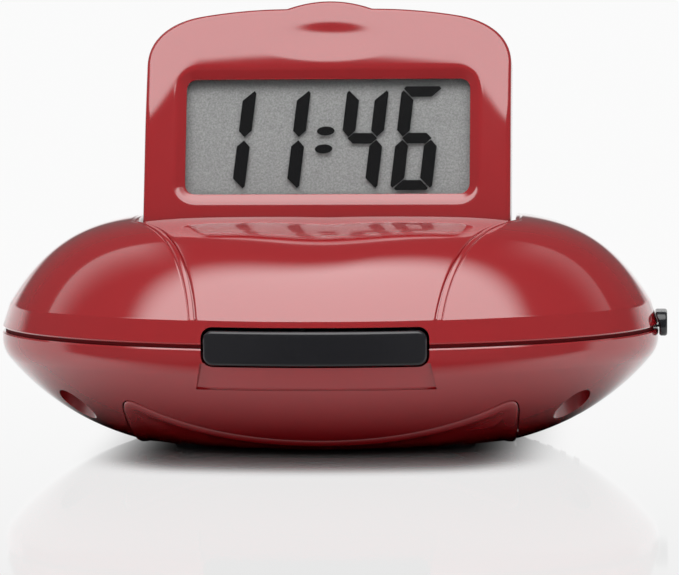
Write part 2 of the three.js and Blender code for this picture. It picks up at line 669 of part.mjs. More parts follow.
function batteryCover() {
  const plate = lowerOval(0, LOWER_EDGE).subtract(lowerOval(COVER_THICKNESS, LOWER_EDGE + PAST));
  let cover = plate.intersect(slabZ(coverOutline(0), -PAST, LOWER_EDGE));
  const tabY = ROOM_HALF_DEPTH - MOVE_FIT;
  const tabBase = bowlHeight(0, tabY, 0) + COVER_THICKNESS / 2;
  for (const side of [-1, 1]) {
    const outerY = side * tabY;
    const innerY = side * (tabY - COVER_TAB_THICKNESS);
    const tab = box(-COVER_TAB_WIDTH / 2, COVER_TAB_WIDTH / 2, Math.min(outerY, innerY),
      Math.max(outerY, innerY), tabBase, tabBase + COVER_THICKNESS / 2 + COVER_TAB_HEIGHT);
    cover = cover.add(tab.subtract(cover));
  }
  for (const [, x, y] of footSpots()) {
    cover = cover.subtract(rodZ(FOOT_RADIUS + FIT, -PAST, FOOT_STAND + FOOT_SEAT + FIT, x, y));
  }
  return cover;
}

function coverParts() {
  const group = new THREE.Group();
  group.add(part('battery_cover', batteryCover(), RED));
  for (const [name, x, y] of footSpots()) {
    group.add(part(`foot_${name}`, rodZ(FOOT_RADIUS, 0, FOOT_STAND + FOOT_SEAT, x, y), RUBBER));
  }
  return group;
}

function caseScrews() {
  const group = new THREE.Group();
  for (const [name, x, y] of SCREW_SPOTS) {
    const seat = WELL_FLOOR - FIT;
    const head = rodZ(SCREW_HEAD_RADIUS, seat - SCREW_HEAD_HEIGHT, seat, x, y);
    const shank = rodZ(SCREW_RADIUS, seat - JOIN, WELL_FLOOR + SCREW_LENGTH, x, y, SMALL_SIDES);
    group.add(part(`case_screw_${name}`, head.add(shank), STEEL));
  }
  return group;
}

// Cells and their contacts

function springGeometry(length) {
  const points = [];
  const steps = SPRING_TURNS * SPRING_STEPS;
  for (let i = 0; i <= steps; i += 1) {
    const turn = (i / SPRING_STEPS) * 2 * Math.PI;
    const radius = SPRING_RADIUS * (1 - SPRING_TAPER * i / steps);
    const along = length * i / steps;
    points.push(new THREE.Vector3(radius * Math.cos(turn), along, radius * Math.sin(turn)));
  }
  const wire = new THREE.Shape().absarc(0, 0, SPRING_WIRE, 0, 2 * Math.PI, false);
  return new THREE.ExtrudeGeometry(wire, {
    extrudePath: new THREE.CatmullRomCurve3(points), steps, curveSegments: 2, bevelEnabled: false,
  });
}

function cellParts() {
  const group = new THREE.Group();
  const half = CELL_LENGTH / 2;
  for (let i = 0; i < CELL_COUNT; i += 1) {
    const x = (i - (CELL_COUNT - 1) / 2) * CELL_PITCH;
    const side = i % 2 ? 1 : -1;
    const pair = new THREE.Group();
    const can = rodY(CELL_RADIUS, -half, half, 0, 0, LARGE_SIDES);
    const nub = rodY(CELL_NUB_RADIUS, half - JOIN, half + CELL_NUB_LENGTH, 0, 0);
    pair.add(part(`battery_${i + 1}`, can.add(nub), CELL_GREEN));
    const plateY = ROOM_HALF_DEPTH - FIT;
    const plate = box(-CONTACT_WIDTH / 2, CONTACT_WIDTH / 2, plateY - CONTACT_THICKNESS, plateY,
      -CONTACT_WIDTH / 2, CONTACT_WIDTH / 2);
    pair.add(part(`contact_plate_${i + 1}`, plate, BRASS));
    const room = CONTACT_ROOM - 2 * (FIT + SPRING_WIRE);
    const spring = springGeometry(room);
    spring.translate(0, -half - CONTACT_ROOM + FIT + SPRING_WIRE, 0);
    pair.add(part(`contact_spring_${i + 1}`, solid(spring), STEEL));
    pair.position.set(x, 0, CELL_Z);
    if (side < 0) pair.rotation.z = Math.PI;
    group.add(pair);
  }
  return group;
}

// Boards, switches and sound

const SNOOZE_SWITCH_FRONT = -BODY_HALF_DEPTH + SNOOZE_DEPTH + SNOOZE_TRAVEL + FIT;
const SET_SWITCH_REAR = BODY_HALF_DEPTH - SET_DEPTH - SET_TRAVEL - FIT;
const SNOOZE_NUB_LENGTH = SNOOZE_TRAVEL + FIT;
const SNOOZE_SWITCH_REAR = SNOOZE_SWITCH_FRONT + SNOOZE_NUB_LENGTH + SNOOZE_SWITCH_DEPTH;
const SET_NUB_LENGTH = SET_TRAVEL + FIT;
const MODE_BODY_FACE = BODY_HALF_WIDTH - MODE_STEM_LENGTH;

function mainBoard() {
  const arm = MODE_BODY_FACE - MODE_BODY_DEPTH - FIT;
  const front = SNOOZE_SWITCH_REAR + FIT;
  const outline = polygon([
    [-BOARD_HALF_WIDTH, front], [BOARD_HALF_WIDTH, front], [BOARD_HALF_WIDTH, -BOARD_ARM_HALF],
    [arm, -BOARD_ARM_HALF], [arm, BOARD_ARM_HALF], [BOARD_HALF_WIDTH, BOARD_ARM_HALF],
    [BOARD_HALF_WIDTH, BOARD_HALF_DEPTH], [-BOARD_HALF_WIDTH, BOARD_HALF_DEPTH],
  ]);
  return slabZ(outline, BOARD_Z, BOARD_Z + BOARD_THICKNESS);
}

function electronics() {
  const group = new THREE.Group();
  group.add(part('main_board', mainBoard(), CIRCUIT_GREEN));
  const boardTop = BOARD_Z + BOARD_THICKNESS + FIT;
  const chipHalf = CHIP_WIDTH / 2;
  const chip = box(-chipHalf, chipHalf, -chipHalf, chipHalf, boardTop, boardTop + CHIP_HEIGHT);
  group.add(part('clock_chip', chip, BLACK));
  group.add(part('snooze_switch', snoozeSwitch(), BLACK));
  group.add(part('mode_switch', modeSwitch(), STEEL));
  const speakerTop = SPEAKER_SEAT_Z + SPEAKER_HEIGHT;
  const speaker = rodZ(SPEAKER_RADIUS, SPEAKER_SEAT_Z, speakerTop, SPEAKER_X, 0, LARGE_SIDES);
  const magnetTop = speakerTop + SPEAKER_MAGNET_HEIGHT;
  const magnet = rodZ(SPEAKER_MAGNET_RADIUS, speakerTop - JOIN, magnetTop, SPEAKER_X, 0);
  group.add(part('alarm_speaker', speaker.add(magnet), BLACK));
  return group;
}

function snoozeSwitch() {
  const tall = SNOOZE_SWITCH_HEIGHT / 2;
  const z = ROOM_TOP + ROOM_WALL + FIT + tall;
  const face = SNOOZE_SWITCH_FRONT + SNOOZE_NUB_LENGTH;
  const half = SNOOZE_SWITCH_WIDTH / 2;
  const body = box(-half, half, face, SNOOZE_SWITCH_REAR, z - tall, z + tall);
  return body.add(rodY(SNOOZE_SWITCH_NUB, SNOOZE_SWITCH_FRONT, face + JOIN, 0, z, SMALL_SIDES));
}

function modeSwitch() {
  const tall = MODE_BODY_HEIGHT / 2;
  const body = box(MODE_BODY_FACE - MODE_BODY_DEPTH, MODE_BODY_FACE - FIT,
    -MODE_BODY_HALF, MODE_BODY_HALF, MODE_MIDDLE - tall, MODE_MIDDLE + tall);
  const half = MODE_STEM_HALF + MODE_TRAVEL + MOVE_FIT;
  const track = box(MODE_BODY_FACE - MODE_TRACK_DEPTH, FAR, -half, half,
    MODE_MIDDLE - MODE_TRACK_HEIGHT / 2, MODE_MIDDLE + MODE_TRACK_HEIGHT / 2);
  return body.subtract(track);
}

function setKeys() {
  const group = new THREE.Group();
  const boardRear = SET_SWITCH_REAR - SET_SWITCH_DEPTH - FIT;
  const half = setPlaces().at(-1) + SET_WIDTH / 2 + SET_BOARD_BORDER;
  const tall = SET_HEIGHT / 2 + SET_BOARD_BORDER;
  const keyBoard = box(-half, half, boardRear - SET_BOARD_THICKNESS, boardRear, SET_Z - tall, SET_Z + tall);
  group.add(part('set_board', keyBoard, CIRCUIT_GREEN));
  setPlaces().forEach((x, i) => {
    group.add(part(`set_switch_${SET_NAMES[i]}`, setSwitch(x, boardRear + FIT), BLACK));
    group.add(part(`set_button_${SET_NAMES[i]}`, setButton(x), BLACK));
  });
  return group;
}

function setSwitch(x, front) {
  const half = SET_SWITCH_WIDTH / 2;
  const tall = SET_SWITCH_HEIGHT / 2;
  const face = SET_SWITCH_REAR - SET_NUB_LENGTH;
  const body = box(x - half, x + half, front, face, SET_Z - tall, SET_Z + tall);
  return body.add(rodY(SET_SWITCH_NUB, face - JOIN, SET_SWITCH_REAR, x, SET_Z, SMALL_SIDES));
}

function setButton(x) {
  const rear = BODY_HALF_DEPTH - SET_DEPTH;
  const face = ovalPlug(-SET_PROUD, 0, FAR);
  const half = SET_WIDTH / 2;
  const capTall = SET_HEIGHT / 2;
  const cap = box(x - half, x + half, rear, FAR, SET_Z - capTall, SET_Z + capTall).intersect(face);
  const inside = lowerOval(WALL + FIT, LOWER_EDGE);
  const wide = half + SET_FLANGE;
  const tall = capTall + SET_FLANGE;
  const flange = box(x - wide, x + wide, rear, rear + SET_FLANGE_DEPTH, SET_Z - tall, SET_Z + tall);
  return cap.add(flange.intersect(inside));
}

// Snooze bar and mode knob

function snoozeBar() {
  const outer = ovalPlug(-SNOOZE_PROUD, SNOOZE_LOW, SNOOZE_HIGH);
  const inner = ovalPlug(SNOOZE_DEPTH, 0, FAR);
  const earFront = ovalPlug(SNOOZE_DEPTH - SNOOZE_EAR_DEPTH,
    SNOOZE_LOW + SNOOZE_EAR_STEP, SNOOZE_HIGH - SNOOZE_EAR_STEP);
  const half = SNOOZE_HALF_WIDTH;
  const bar = outer.intersect(box(-half, half, -FAR, 0, 0, FAR));
  const ears = earFront.intersect(box(-half - SNOOZE_EAR, half + SNOOZE_EAR, -FAR, 0, 0, FAR));
  return bar.add(ears).subtract(inner);
}

function modeKnob() {
  const near = BODY_HALF_WIDTH + FIT;
  const knob = box(near, BODY_HALF_WIDTH + MODE_PROUD, -MODE_HALF_LENGTH, MODE_HALF_LENGTH,
    MODE_LOW, MODE_HIGH);
  const stem = box(MODE_BODY_FACE - MODE_STEM_REACH, near + JOIN, -MODE_STEM_HALF, MODE_STEM_HALF,
    MODE_MIDDLE - MODE_STEM_HEIGHT / 2, MODE_MIDDLE + MODE_STEM_HEIGHT / 2);
  return knob.add(stem);
}

// Shaker: a motor in a cradle, with an off-centre weight on its shaft

const MOTOR_X = -PANEL_HALF_WIDTH - MOTOR_SIDE;
const MOTOR_Z = HINGE_Z - MOTOR_DROP;

function shaker() {
  const group = new THREE.Group();
  const rear = MOTOR_FRONT + MOTOR_LENGTH;
  const can = rodY(MOTOR_RADIUS, MOTOR_FRONT, rear, MOTOR_X, MOTOR_Z, LARGE_SIDES);
  const nose = MOTOR_FRONT - MOTOR_BEARING_LENGTH;
  const boreEnd = rear - MOTOR_END_WALL;
  const bearing = rodY(MOTOR_BEARING_RADIUS, nose, MOTOR_FRONT + JOIN, MOTOR_X, MOTOR_Z);
  const bore = rodY(SHAFT_RADIUS + FIT, nose - PAST, boreEnd, MOTOR_X, MOTOR_Z, SMALL_SIDES);
  group.add(part('shaker_motor', can.add(bearing).subtract(bore), STEEL));
  const weightRear = MOTOR_FRONT - WEIGHT_GAP;
  const weightFront = weightRear - WEIGHT_LENGTH;
  const shaft = rodY(SHAFT_RADIUS, weightFront - SHAFT_PROUD, boreEnd - SHAFT_END_ROOM,
    MOTOR_X, MOTOR_Z, SMALL_SIDES);
  group.add(part('motor_shaft', shaft, STEEL));
  const lobe = rodY(WEIGHT_RADIUS, weightFront, weightRear, MOTOR_X, MOTOR_Z, LARGE_SIDES)
    .subtract(box(MOTOR_X - FAR, MOTOR_X + FAR, -FAR, FAR, MOTOR_Z, FAR));
  const hub = rodY(WEIGHT_HUB, weightFront, weightRear, MOTOR_X, MOTOR_Z);
  const hole = rodY(SHAFT_RADIUS + PIN_BORE_FIT, -FAR, FAR, MOTOR_X, MOTOR_Z, SMALL_SIDES);
  group.add(part('shaker_weight', lobe.add(hub).subtract(hole), BRASS));
  group.add(part('motor_cradle', motorCradle(), BLACK));
  group.add(part('motor_strap', motorStrap(), STEEL));
  return group;
}

function motorCradle() {
  const front = MOTOR_FRONT + CRADLE_SETBACK;
  const rear = MOTOR_FRONT + MOTOR_LENGTH - CRADLE_SETBACK;
  const block = box(MOTOR_X - CRADLE_HALF_WIDTH, MOTOR_X + CRADLE_HALF_WIDTH, front, rear,
    0, MOTOR_Z - STRAP_LEG);
  const seat = rodY(MOTOR_RADIUS + FIT, -FAR, FAR, MOTOR_X, MOTOR_Z, LARGE_SIDES);
  const hollow = lowerOval(WALL + FIT, MOTOR_Z);
  const posts = SCREW_SPOTS.map(([, x, y]) => rodZ(WELL_RADIUS + WELL_WALL + FIT, 0, FAR, x, y));
  const besideRoom = box(-FAR, -COVER_HALF_FRONT - WALL - FIT, -FAR, FAR, 0, FAR);
  let cradle = block.intersect(hollow).subtract(seat).intersect(besideRoom);
  for (const post of posts) cradle = cradle.subtract(post);
  return cradle;
}

function motorStrap() {
  const y0 = MOTOR_FRONT + CRADLE_SETBACK + STRAP_OFFSET;
  const inner = MOTOR_RADIUS + FIT;
  const outer = inner + STRAP_THICKNESS;
  const shape = new THREE.Shape();
  const foot = MOTOR_Z - STRAP_LEG + FIT;
  shape.moveTo(outer, foot);
  shape.lineTo(outer, MOTOR_Z);
  shape.absarc(0, MOTOR_Z, outer, 0, Math.PI, false);
  shape.lineTo(-outer, foot);
  shape.lineTo(-inner, foot);
  shape.lineTo(-inner, MOTOR_Z);
  shape.absarc(0, MOTOR_Z, inner, Math.PI, 0, true);
  shape.lineTo(inner, foot);
  return slabY(shape, y0, y0 + STRAP_WIDTH).translate([MOTOR_X, 0, 0]);
}

// Fold-down display, drawn upright about its hinge axis

function panelOutline() {
  const shoulder = PANEL_HEIGHT - PANEL_CROWN;
  const side = shoulder - PANEL_CORNER;
  const cornerX = PANEL_HALF_WIDTH - PANEL_CORNER;
  const bend = PANEL_CORNER * CORNER_HANDLE;
  const crownX = (cornerX + TAB_HALF_WIDTH) / 2;
  const top = PANEL_HEIGHT + TAB_RISE;
  const half = PANEL_HALF_WIDTH;
  const tab = TAB_HALF_WIDTH / 2;
  const shape = new THREE.Shape();
  shape.moveTo(-half, -PANEL_BACK);
  shape.lineTo(half, -PANEL_BACK);
  shape.lineTo(half, side);
  shape.bezierCurveTo(half, side + bend, cornerX + bend, shoulder, cornerX, shoulder);
  shape.quadraticCurveTo(crownX, PANEL_HEIGHT, TAB_HALF_WIDTH, PANEL_HEIGHT);
  shape.bezierCurveTo(tab, PANEL_HEIGHT, tab, top, 0, top);
  shape.bezierCurveTo(-tab, top, -tab, PANEL_HEIGHT, -TAB_HALF_WIDTH, PANEL_HEIGHT);
  shape.quadraticCurveTo(-crownX, PANEL_HEIGHT, -cornerX, shoulder);
  shape.bezierCurveTo(-cornerX - bend, shoulder, -half, side + bend, -half, side);
  return shape;
}

function panelProfile() {
  const top = PANEL_HEIGHT + TAB_RISE;
  const shape = new THREE.Shape();
  shape.moveTo(-PANEL_FRONT, 0);
  shape.absellipse(0, 0, PANEL_FRONT, PANEL_FRONT, Math.PI, 1.5 * Math.PI, false);
  shape.absellipse(0, 0, PANEL_BACK, PANEL_FRONT, 1.5 * Math.PI, 2 * Math.PI, false);
  shape.lineTo(PANEL_BACK, top);
  shape.lineTo(-PANEL_FRONT + PANEL_TOP_ROUND, top);
  shape.quadraticCurveTo(-PANEL_FRONT, top - PANEL_TOP_ROUND, -PANEL_FRONT, top - PANEL_TOP_FALL);
  return shape;
}

function panelBody() {
  const outline = slabY(panelOutline(), -PANEL_FRONT - PAST, PANEL_BACK + PAST);
  return outline.intersect(slabX(panelProfile(), -PANEL_HALF_WIDTH - PAST, PANEL_HALF_WIDTH + PAST));
}

const WINDOW_HALF_WIDTH = PANEL_HALF_WIDTH - WINDOW_SIDE;
const STACK_HALF = WINDOW_HALF_WIDTH + STACK_BORDER;
const STACK_LOW = WINDOW_LOW - STACK_BORDER;
const STACK_HIGH = WINDOW_HIGH + STACK_BORDER;
const LENS_FACE = -PANEL_FRONT + BEZEL_FACE + FIT;
const GLASS_FACE = LENS_FACE + LENS_THICKNESS + FIT;
const LIGHT_FACE = GLASS_FACE + GLASS_THICKNESS + FIT;
const CIRCUIT_FACE = LIGHT_FACE + LIGHT_THICKNESS + FIT;

// The window's slanting cut: a four-sided frustum, widest in front of the panel's face
function windowBevel() {
  const depth = WINDOW_BEVEL_DEPTH + PAST;
  const grow = WINDOW_BEVEL * depth / WINDOW_BEVEL_DEPTH;
  const middle = (WINDOW_LOW + WINDOW_HIGH) / 2;
  const tall = (WINDOW_HIGH - WINDOW_LOW) / 2;
  const frustum = new THREE.CylinderGeometry(Math.SQRT2, Math.SQRT2, depth, 4).rotateY(Math.PI / 4);
  const position = frustum.attributes.position;
  for (let i = 0; i < position.count; i += 1) {
    const open = position.getY(i) < 0 ? grow : 0;
    position.setX(i, position.getX(i) * (WINDOW_HALF_WIDTH + open));
    position.setZ(i, position.getZ(i) * (tall + open));
  }
  return solid(frustum.translate(0, -PANEL_FRONT - PAST + depth / 2, middle));
}

const PANEL_SCREW_X = PANEL_HALF_WIDTH - PANEL_SCREW_EDGE;
const PANEL_SCREWS = [
  ['lower_left', -PANEL_SCREW_X, PANEL_SCREW_LOW],
  ['lower_right', PANEL_SCREW_X, PANEL_SCREW_LOW],
  ['upper_left', -PANEL_SCREW_X, PANEL_SCREW_HIGH],
  ['upper_right', PANEL_SCREW_X, PANEL_SCREW_HIGH],
];
const PANEL_SCREW_SEAT = PANEL_BACK - PANEL_SCREW_SINK;
const PANEL_SCREW_TIP = PANEL_SCREW_SEAT - PANEL_SCREW_LENGTH;

function displayBezel() {
  let bezel = panelBody().intersect(box(-FAR, FAR, -FAR, PANEL_SPLIT, -FAR, FAR));
  const room = box(-STACK_HALF - FIT, STACK_HALF + FIT, -PANEL_FRONT + BEZEL_FACE, FAR,
    STACK_LOW - FIT, STACK_HIGH + FIT);
  bezel = bezel.subtract(room).subtract(windowBevel());
  const bore = PANEL_HALF_WIDTH - PIN_LENGTH / 2 - FIT;
  for (const side of [-1, 1]) {
    const from = Math.min(side * bore, side * FAR);
    const to = Math.max(side * bore, side * FAR);
    bezel = bezel.subtract(rodX(PIN_RADIUS + PIN_BORE_FIT, from, to, 0, 0));
  }
  const way = LEAD_RADIUS + FIT;
  bezel = bezel.subtract(box(-bore - PAST, -bore - PAST + LEAD_SLOT, -way, FAR, -way, way));
  for (const [, x, z] of PANEL_SCREWS) {
    bezel = bezel.subtract(rodY(PANEL_SCREW_RADIUS + FIT, PANEL_SCREW_TIP - FIT, FAR, x, z, SMALL_SIDES));
  }
  return bezel;
}

function displayCover() {
  let cover = panelBody().intersect(box(-FAR, FAR, PANEL_SPLIT + FIT, FAR, -FAR, FAR));
  const room = box(-STACK_HALF - FIT, STACK_HALF + FIT, -FAR, PANEL_BACK - COVER_FACE,
    STACK_LOW - FIT, STACK_HIGH + FIT);
  cover = cover.subtract(room);
  for (const [, x, z] of PANEL_SCREWS) {
    cover = cover.subtract(rodY(PANEL_SCREW_RADIUS + FIT, -FAR, FAR, x, z, SMALL_SIDES));
    cover = cover.subtract(rodY(PANEL_SCREW_HEAD + FIT, PANEL_SCREW_SEAT, FAR, x, z));
  }
  return cover;
}

function panelScrew(x, z) {
  const seat = PANEL_SCREW_SEAT + FIT;
  const head = rodY(PANEL_SCREW_HEAD, seat, seat + PANEL_SCREW_HEAD_HEIGHT, x, z);
  return head.add(rodY(PANEL_SCREW_RADIUS, PANEL_SCREW_TIP, seat + JOIN / 2, x, z, SMALL_SIDES));
}

function stackPlate(face, thickness) {
  return box(-STACK_HALF, STACK_HALF, face, face + thickness, STACK_LOW, STACK_HIGH);
}

function hingePin(side) {
  const inner = side * (PANEL_HALF_WIDTH - PIN_LENGTH / 2);
  const outer = side * (PANEL_HALF_WIDTH + PIN_LENGTH / 2);
  const pin = rodX(PIN_RADIUS, Math.min(inner, outer), Math.max(inner, outer), 0, 0);
  return side < 0 ? pin.subtract(rodX(LEAD_RADIUS + FIT, -FAR, FAR, 0, 0, SMALL_SIDES)) : pin;
}

function display() {
  const group = new THREE.Group();
  group.add(part('display_bezel', displayBezel(), RED));
  group.add(part('display_rear_cover', displayCover(), RED));
  group.add(part('display_window', stackPlate(LENS_FACE, LENS_THICKNESS), CLEAR));
  group.add(part('lcd_glass', stackPlate(GLASS_FACE, GLASS_THICKNESS), LCD_GREY));
  group.add(part('lcd_backlight', stackPlate(LIGHT_FACE, LIGHT_THICKNESS), WHITE));
  group.add(part('display_board', stackPlate(CIRCUIT_FACE, CIRCUIT_THICKNESS), CIRCUIT_GREEN));
  group.add(part('hinge_pin_left', hingePin(-1), STEEL));
  group.add(part('hinge_pin_right', hingePin(1), STEEL));
  for (const [name, x, z] of PANEL_SCREWS) {
    group.add(part(`display_screw_${name}`, panelScrew(x, z), STEEL));
  }
  group.position.set(0, HINGE_Y, HINGE_Z);
  group.rotation.x = -DISPLAY_LEAN;
  return group;
}

// Lead from the main board to the display, through the hollow left hinge pin
function displayLead() {
  const start = -BOARD_HALF_WIDTH + LEAD_START;
  const boardTop = BOARD_Z + BOARD_THICKNESS + FIT + LEAD_RADIUS;
  const pinMiddle = -PANEL_HALF_WIDTH;
  const pinInner = pinMiddle + PIN_LENGTH / 2 - JOIN;
  const points = [
    [start, boardTop],
    [start - 1.5 * LEAD_START, boardTop + LEAD_LIFT],
    ...LEAD_BENDS.map(([x, z]) => [x - HINGE_BOSS_END, z + HINGE_Z]),
    [pinMiddle, HINGE_Z],
    [pinInner, HINGE_Z],
  ];
  const line = points.map(([x, z]) => new THREE.Vector3(x, HINGE_Y, z));
  const route = new THREE.CatmullRomCurve3(line, false, 'centripetal');
  const section = new THREE.Shape().absarc(0, 0, LEAD_RADIUS, 0, 2 * Math.PI, false);
  const geometry = new THREE.ExtrudeGeometry(section, {
    extrudePath: route, steps: LEAD_STEPS, curveSegments: 3, bevelEnabled: false,
  });
  return solid(geometry);
}

const clock = new THREE.Group();
clock.add(part('upper_shell', upperShell(), RED));
clock.add(part('lower_shell', lowerShell(), RED));
clock.add(coverParts());
clock.add(caseScrews());
clock.add(cellParts());
clock.add(electronics());
clock.add(setKeys());
clock.add(shaker());
clock.add(part('display_lead', displayLead(), RUBBER));
clock.add(part('snooze_bar', snoozeBar(), BLACK));
clock.add(part('mode_knob', modeKnob(), BLACK));
clock.add(display());

export default clock;
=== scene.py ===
"""Portable digital alarm clock with a fold-back display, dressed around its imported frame."""
import json
import math

import bpy
from mathutils import Matrix, Vector
from mathutils.bvhtree import BVHTree
from mathutils.interpolate import poly_3d_calc

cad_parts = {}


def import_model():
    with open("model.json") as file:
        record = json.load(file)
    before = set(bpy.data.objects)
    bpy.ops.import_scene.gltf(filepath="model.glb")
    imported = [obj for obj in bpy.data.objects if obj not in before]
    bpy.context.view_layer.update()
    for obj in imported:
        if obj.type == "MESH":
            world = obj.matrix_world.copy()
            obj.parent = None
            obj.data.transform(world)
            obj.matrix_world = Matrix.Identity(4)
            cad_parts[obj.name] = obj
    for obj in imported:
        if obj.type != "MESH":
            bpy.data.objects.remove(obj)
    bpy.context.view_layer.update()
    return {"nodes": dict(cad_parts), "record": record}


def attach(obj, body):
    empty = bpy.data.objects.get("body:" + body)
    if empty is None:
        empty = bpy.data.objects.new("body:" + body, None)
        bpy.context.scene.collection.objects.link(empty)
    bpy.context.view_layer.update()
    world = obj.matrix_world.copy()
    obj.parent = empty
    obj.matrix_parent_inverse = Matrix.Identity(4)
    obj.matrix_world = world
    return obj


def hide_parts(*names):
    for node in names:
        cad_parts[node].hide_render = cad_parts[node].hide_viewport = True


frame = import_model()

# Sizes are in millimetres, and pieces are placed in metres
MM = 0.001
FIT = 0.3
MOVE_FIT = 0.4
FAR = 200
PAST = 1

# Fineness of the meshes
DOUBLES = 0.002
ROUND_STEPS = 8
ROUND_ANGLE = math.radians(40)
NORMAL_WEIGHT = 60
ROOM_SIDES = 96
WELL_SIDES = 64
HOLE_SIDES = 24

# What still counts as the uncut skin: distance, turn of the face, and the step in from each corner
SAME_SKIN = 0.02
SAME_TURN = 0.98
CORNER_STEP = 0.02

# Oval body
BODY_HALF_WIDTH = 68.8
BODY_HALF_DEPTH = 44.3
WALL = 2.2
PARTING_Z = 23.5
PARTING_GAP = 0.8
UPPER_EDGE = PARTING_Z + PARTING_GAP / 2
LOWER_EDGE = PARTING_Z - PARTING_GAP / 2
EDGE_ROUND = 0.3
LIP_HEIGHT = 1.4
LIP_THICKNESS = 1.1
SEAL_INSET = 0.7
SEAL_FIT = 0.03
OVAL_SIDES = 192

# Dome: an upright band, a crease, and a rise that is flatter towards the ends
CREASE_Z = 28.7
BAND_INSET = 1.6
CREASE_HALF_WIDTH = BODY_HALF_WIDTH - BAND_INSET
CREASE_HALF_DEPTH = CREASE_HALF_WIDTH * BODY_HALF_DEPTH / BODY_HALF_WIDTH
CREASE_ROUND = 0.2
DOME_RISE = 18.9
DOME_POWER_FRONT = 2.7
DOME_POWER_END = 6
DOME_ROOM_RINGS = (1, 0.97, 0.93, 0.85, 0.76, 0.65, 0.5, 0.28, 0)

# Edge of each wing: a bent seam up to the display, then straight back along the display's pocket
SEAM_FRONT = (24, -43)
SEAM_BEND = (25.3, -28.5)
SEAM_CORNER = (39.2, -7.9)
SEAM_REAR_Y = 40
SEAM_SHARE = 0.5
SEAM_STEPS = 96
SEAM_LENGTH = 40
SEAM_HALVINGS = 40
SEAM_END_STEPS = (0.25, 0.5, 0.6, 0.9, 1.4)
# Offset and drop of each step over the seam
SEAM_PROFILE = (
    (-0.75, 0.60), (-0.58, 0.61), (-0.46, 0.66), (-0.38, 0.84), (-0.30, 0.98), (-0.08, 0.98), (0.0, 0.86),
    (0.02, 0.52), (0.06, 0.34), (0.14, 0.22), (0.26, 0.16), (0.45, 0.135), (0.65, 0.11), (0.82, 0.1),
    (0.94, 0.13), (1.02, 0.2), (1.07, 0.3), (1.15, 0.3), (1.2, 0.2), (1.27, 0.08), (1.38, 0.02), (1.6, 0.0),
)
WING_ROWS = 34
WING_ROW_POWER = 1.25
WING_TURN = math.radians(34)
CENTRE_COLUMNS = 72

# Bowl: an edge radius and a wide arc down to a flat bottom
FOOT_STAND = 0.6
BOWL_EDGE_RADIUS = 6
BOWL_EDGE_DROP = 2.2
BOWL_RADIUS = 52
BOWL_TURN = math.radians(50)
BOWL_STEPS = 26
BOWL_EDGE_STEPS = 12

# Fold-back display, drawn upright about its hinge
HINGE_Y = -5
HINGE_Z = 42
LEAN = math.radians(17.5)
FOLD = math.radians(81)
PIN_HOLE_RADIUS = 1.7
PIN_HOLE_SIDES = 32
TROUGH_STEPS = 24
PANEL_HALF_WIDTH = 38.3
PANEL_HEIGHT = 49.3
PANEL_FRONT = 3.6
PANEL_BACK = 5
PANEL_CROWN = 1.7
PANEL_CORNER = 10.5
CORNER_HANDLE = 0.58
CORNER_STEPS = 24
TOP_STEPS = 16
PANEL_SIDE_FIT = 0.9
PANEL_SPLIT = 2.2
PANEL_EDGE = 0.9
EDGE_STEPS = 5
FACE_ROWS = 25
BACK_SHARES = (0.9, 0.8, 0.6, 0.3, 0)
BACK_FLOOR_SHARES = (0, 0.5, 1)
ROLL_START = 36.8
ROLL_SLOPE = 0.12
ROLL_BEND = 7
ROLL_SAG = 3.2
ROLL_SIDE_DROP = 12
ROLL_SIDE_START = 26
ROLL_SIDE_STOP = 39
THUMB_Z = 42.3
THUMB_HALF_WIDTH = 16
THUMB_HALF_HEIGHT = 4.9
THUMB_DEPTH = 0.45
TAB_HALF_WIDTH = 9
TAB_RISE = 1.7
WINDOW_HALF_WIDTH = 29.7
WINDOW_LOW = 9.2
WINDOW_HIGH = 33.9
WINDOW_DEPTH = 1.6
WINDOW_CORNER = 2.1
WINDOW_CORNER_GROWTH = 1.1
WINDOW_CORNER_STEPS = 6
WINDOW_LIP = 0.1
# Growth of the outline and depth of each step into the window
WINDOW_DISH = (
    (2.7, 0.0), (2.3, 0.02), (2.0, 0.08), (1.7, 0.2), (1.4, 0.36), (1.0, 0.6), (0.6, 0.83), (0.2, 1.06),
    (0.06, 1.16), (0.0, 1.28),
)
BEZEL_FACE = 1.4
COVER_FACE = 1.4
STACK_BORDER = 2.4
LENS_THICKNESS = 1
SIDE_STEPS = 56
PANEL_SCREW_EDGE = 2.9
PANEL_SCREW_LOW = 8
PANEL_SCREW_HIGH = 34
PANEL_SCREW_HEAD = 1.5
PANEL_SCREW_SINK = 1.2

# Figures of the LCD
FIGURES = "1146"
FIGURE_RIGHTS = (-16.2, -4.8, 11.55, 22.95)
FIGURE_WIDTH = 8.7
FIGURE_LOW = 10.2
FIGURE_HEIGHT = 22.3
FIGURE_UPRIGHT = 2.7
FIGURE_LEVEL = 2.25
FIGURE_SLANT = math.tan(math.radians(6))
FIGURE_LIFT = 0.75
FIGURE_THICKNESS = 0.06
FIGURE_BARS = {"1": "bc", "4": "fgbc", "6": "afgedc"}
COLON_X = -0.65
COLON_HEIGHTS = (19.1, 22.95)
COLON_HALF_WIDTH = 1.85
COLON_HALF_HEIGHT = 0.97
COLON_SIDES = 32

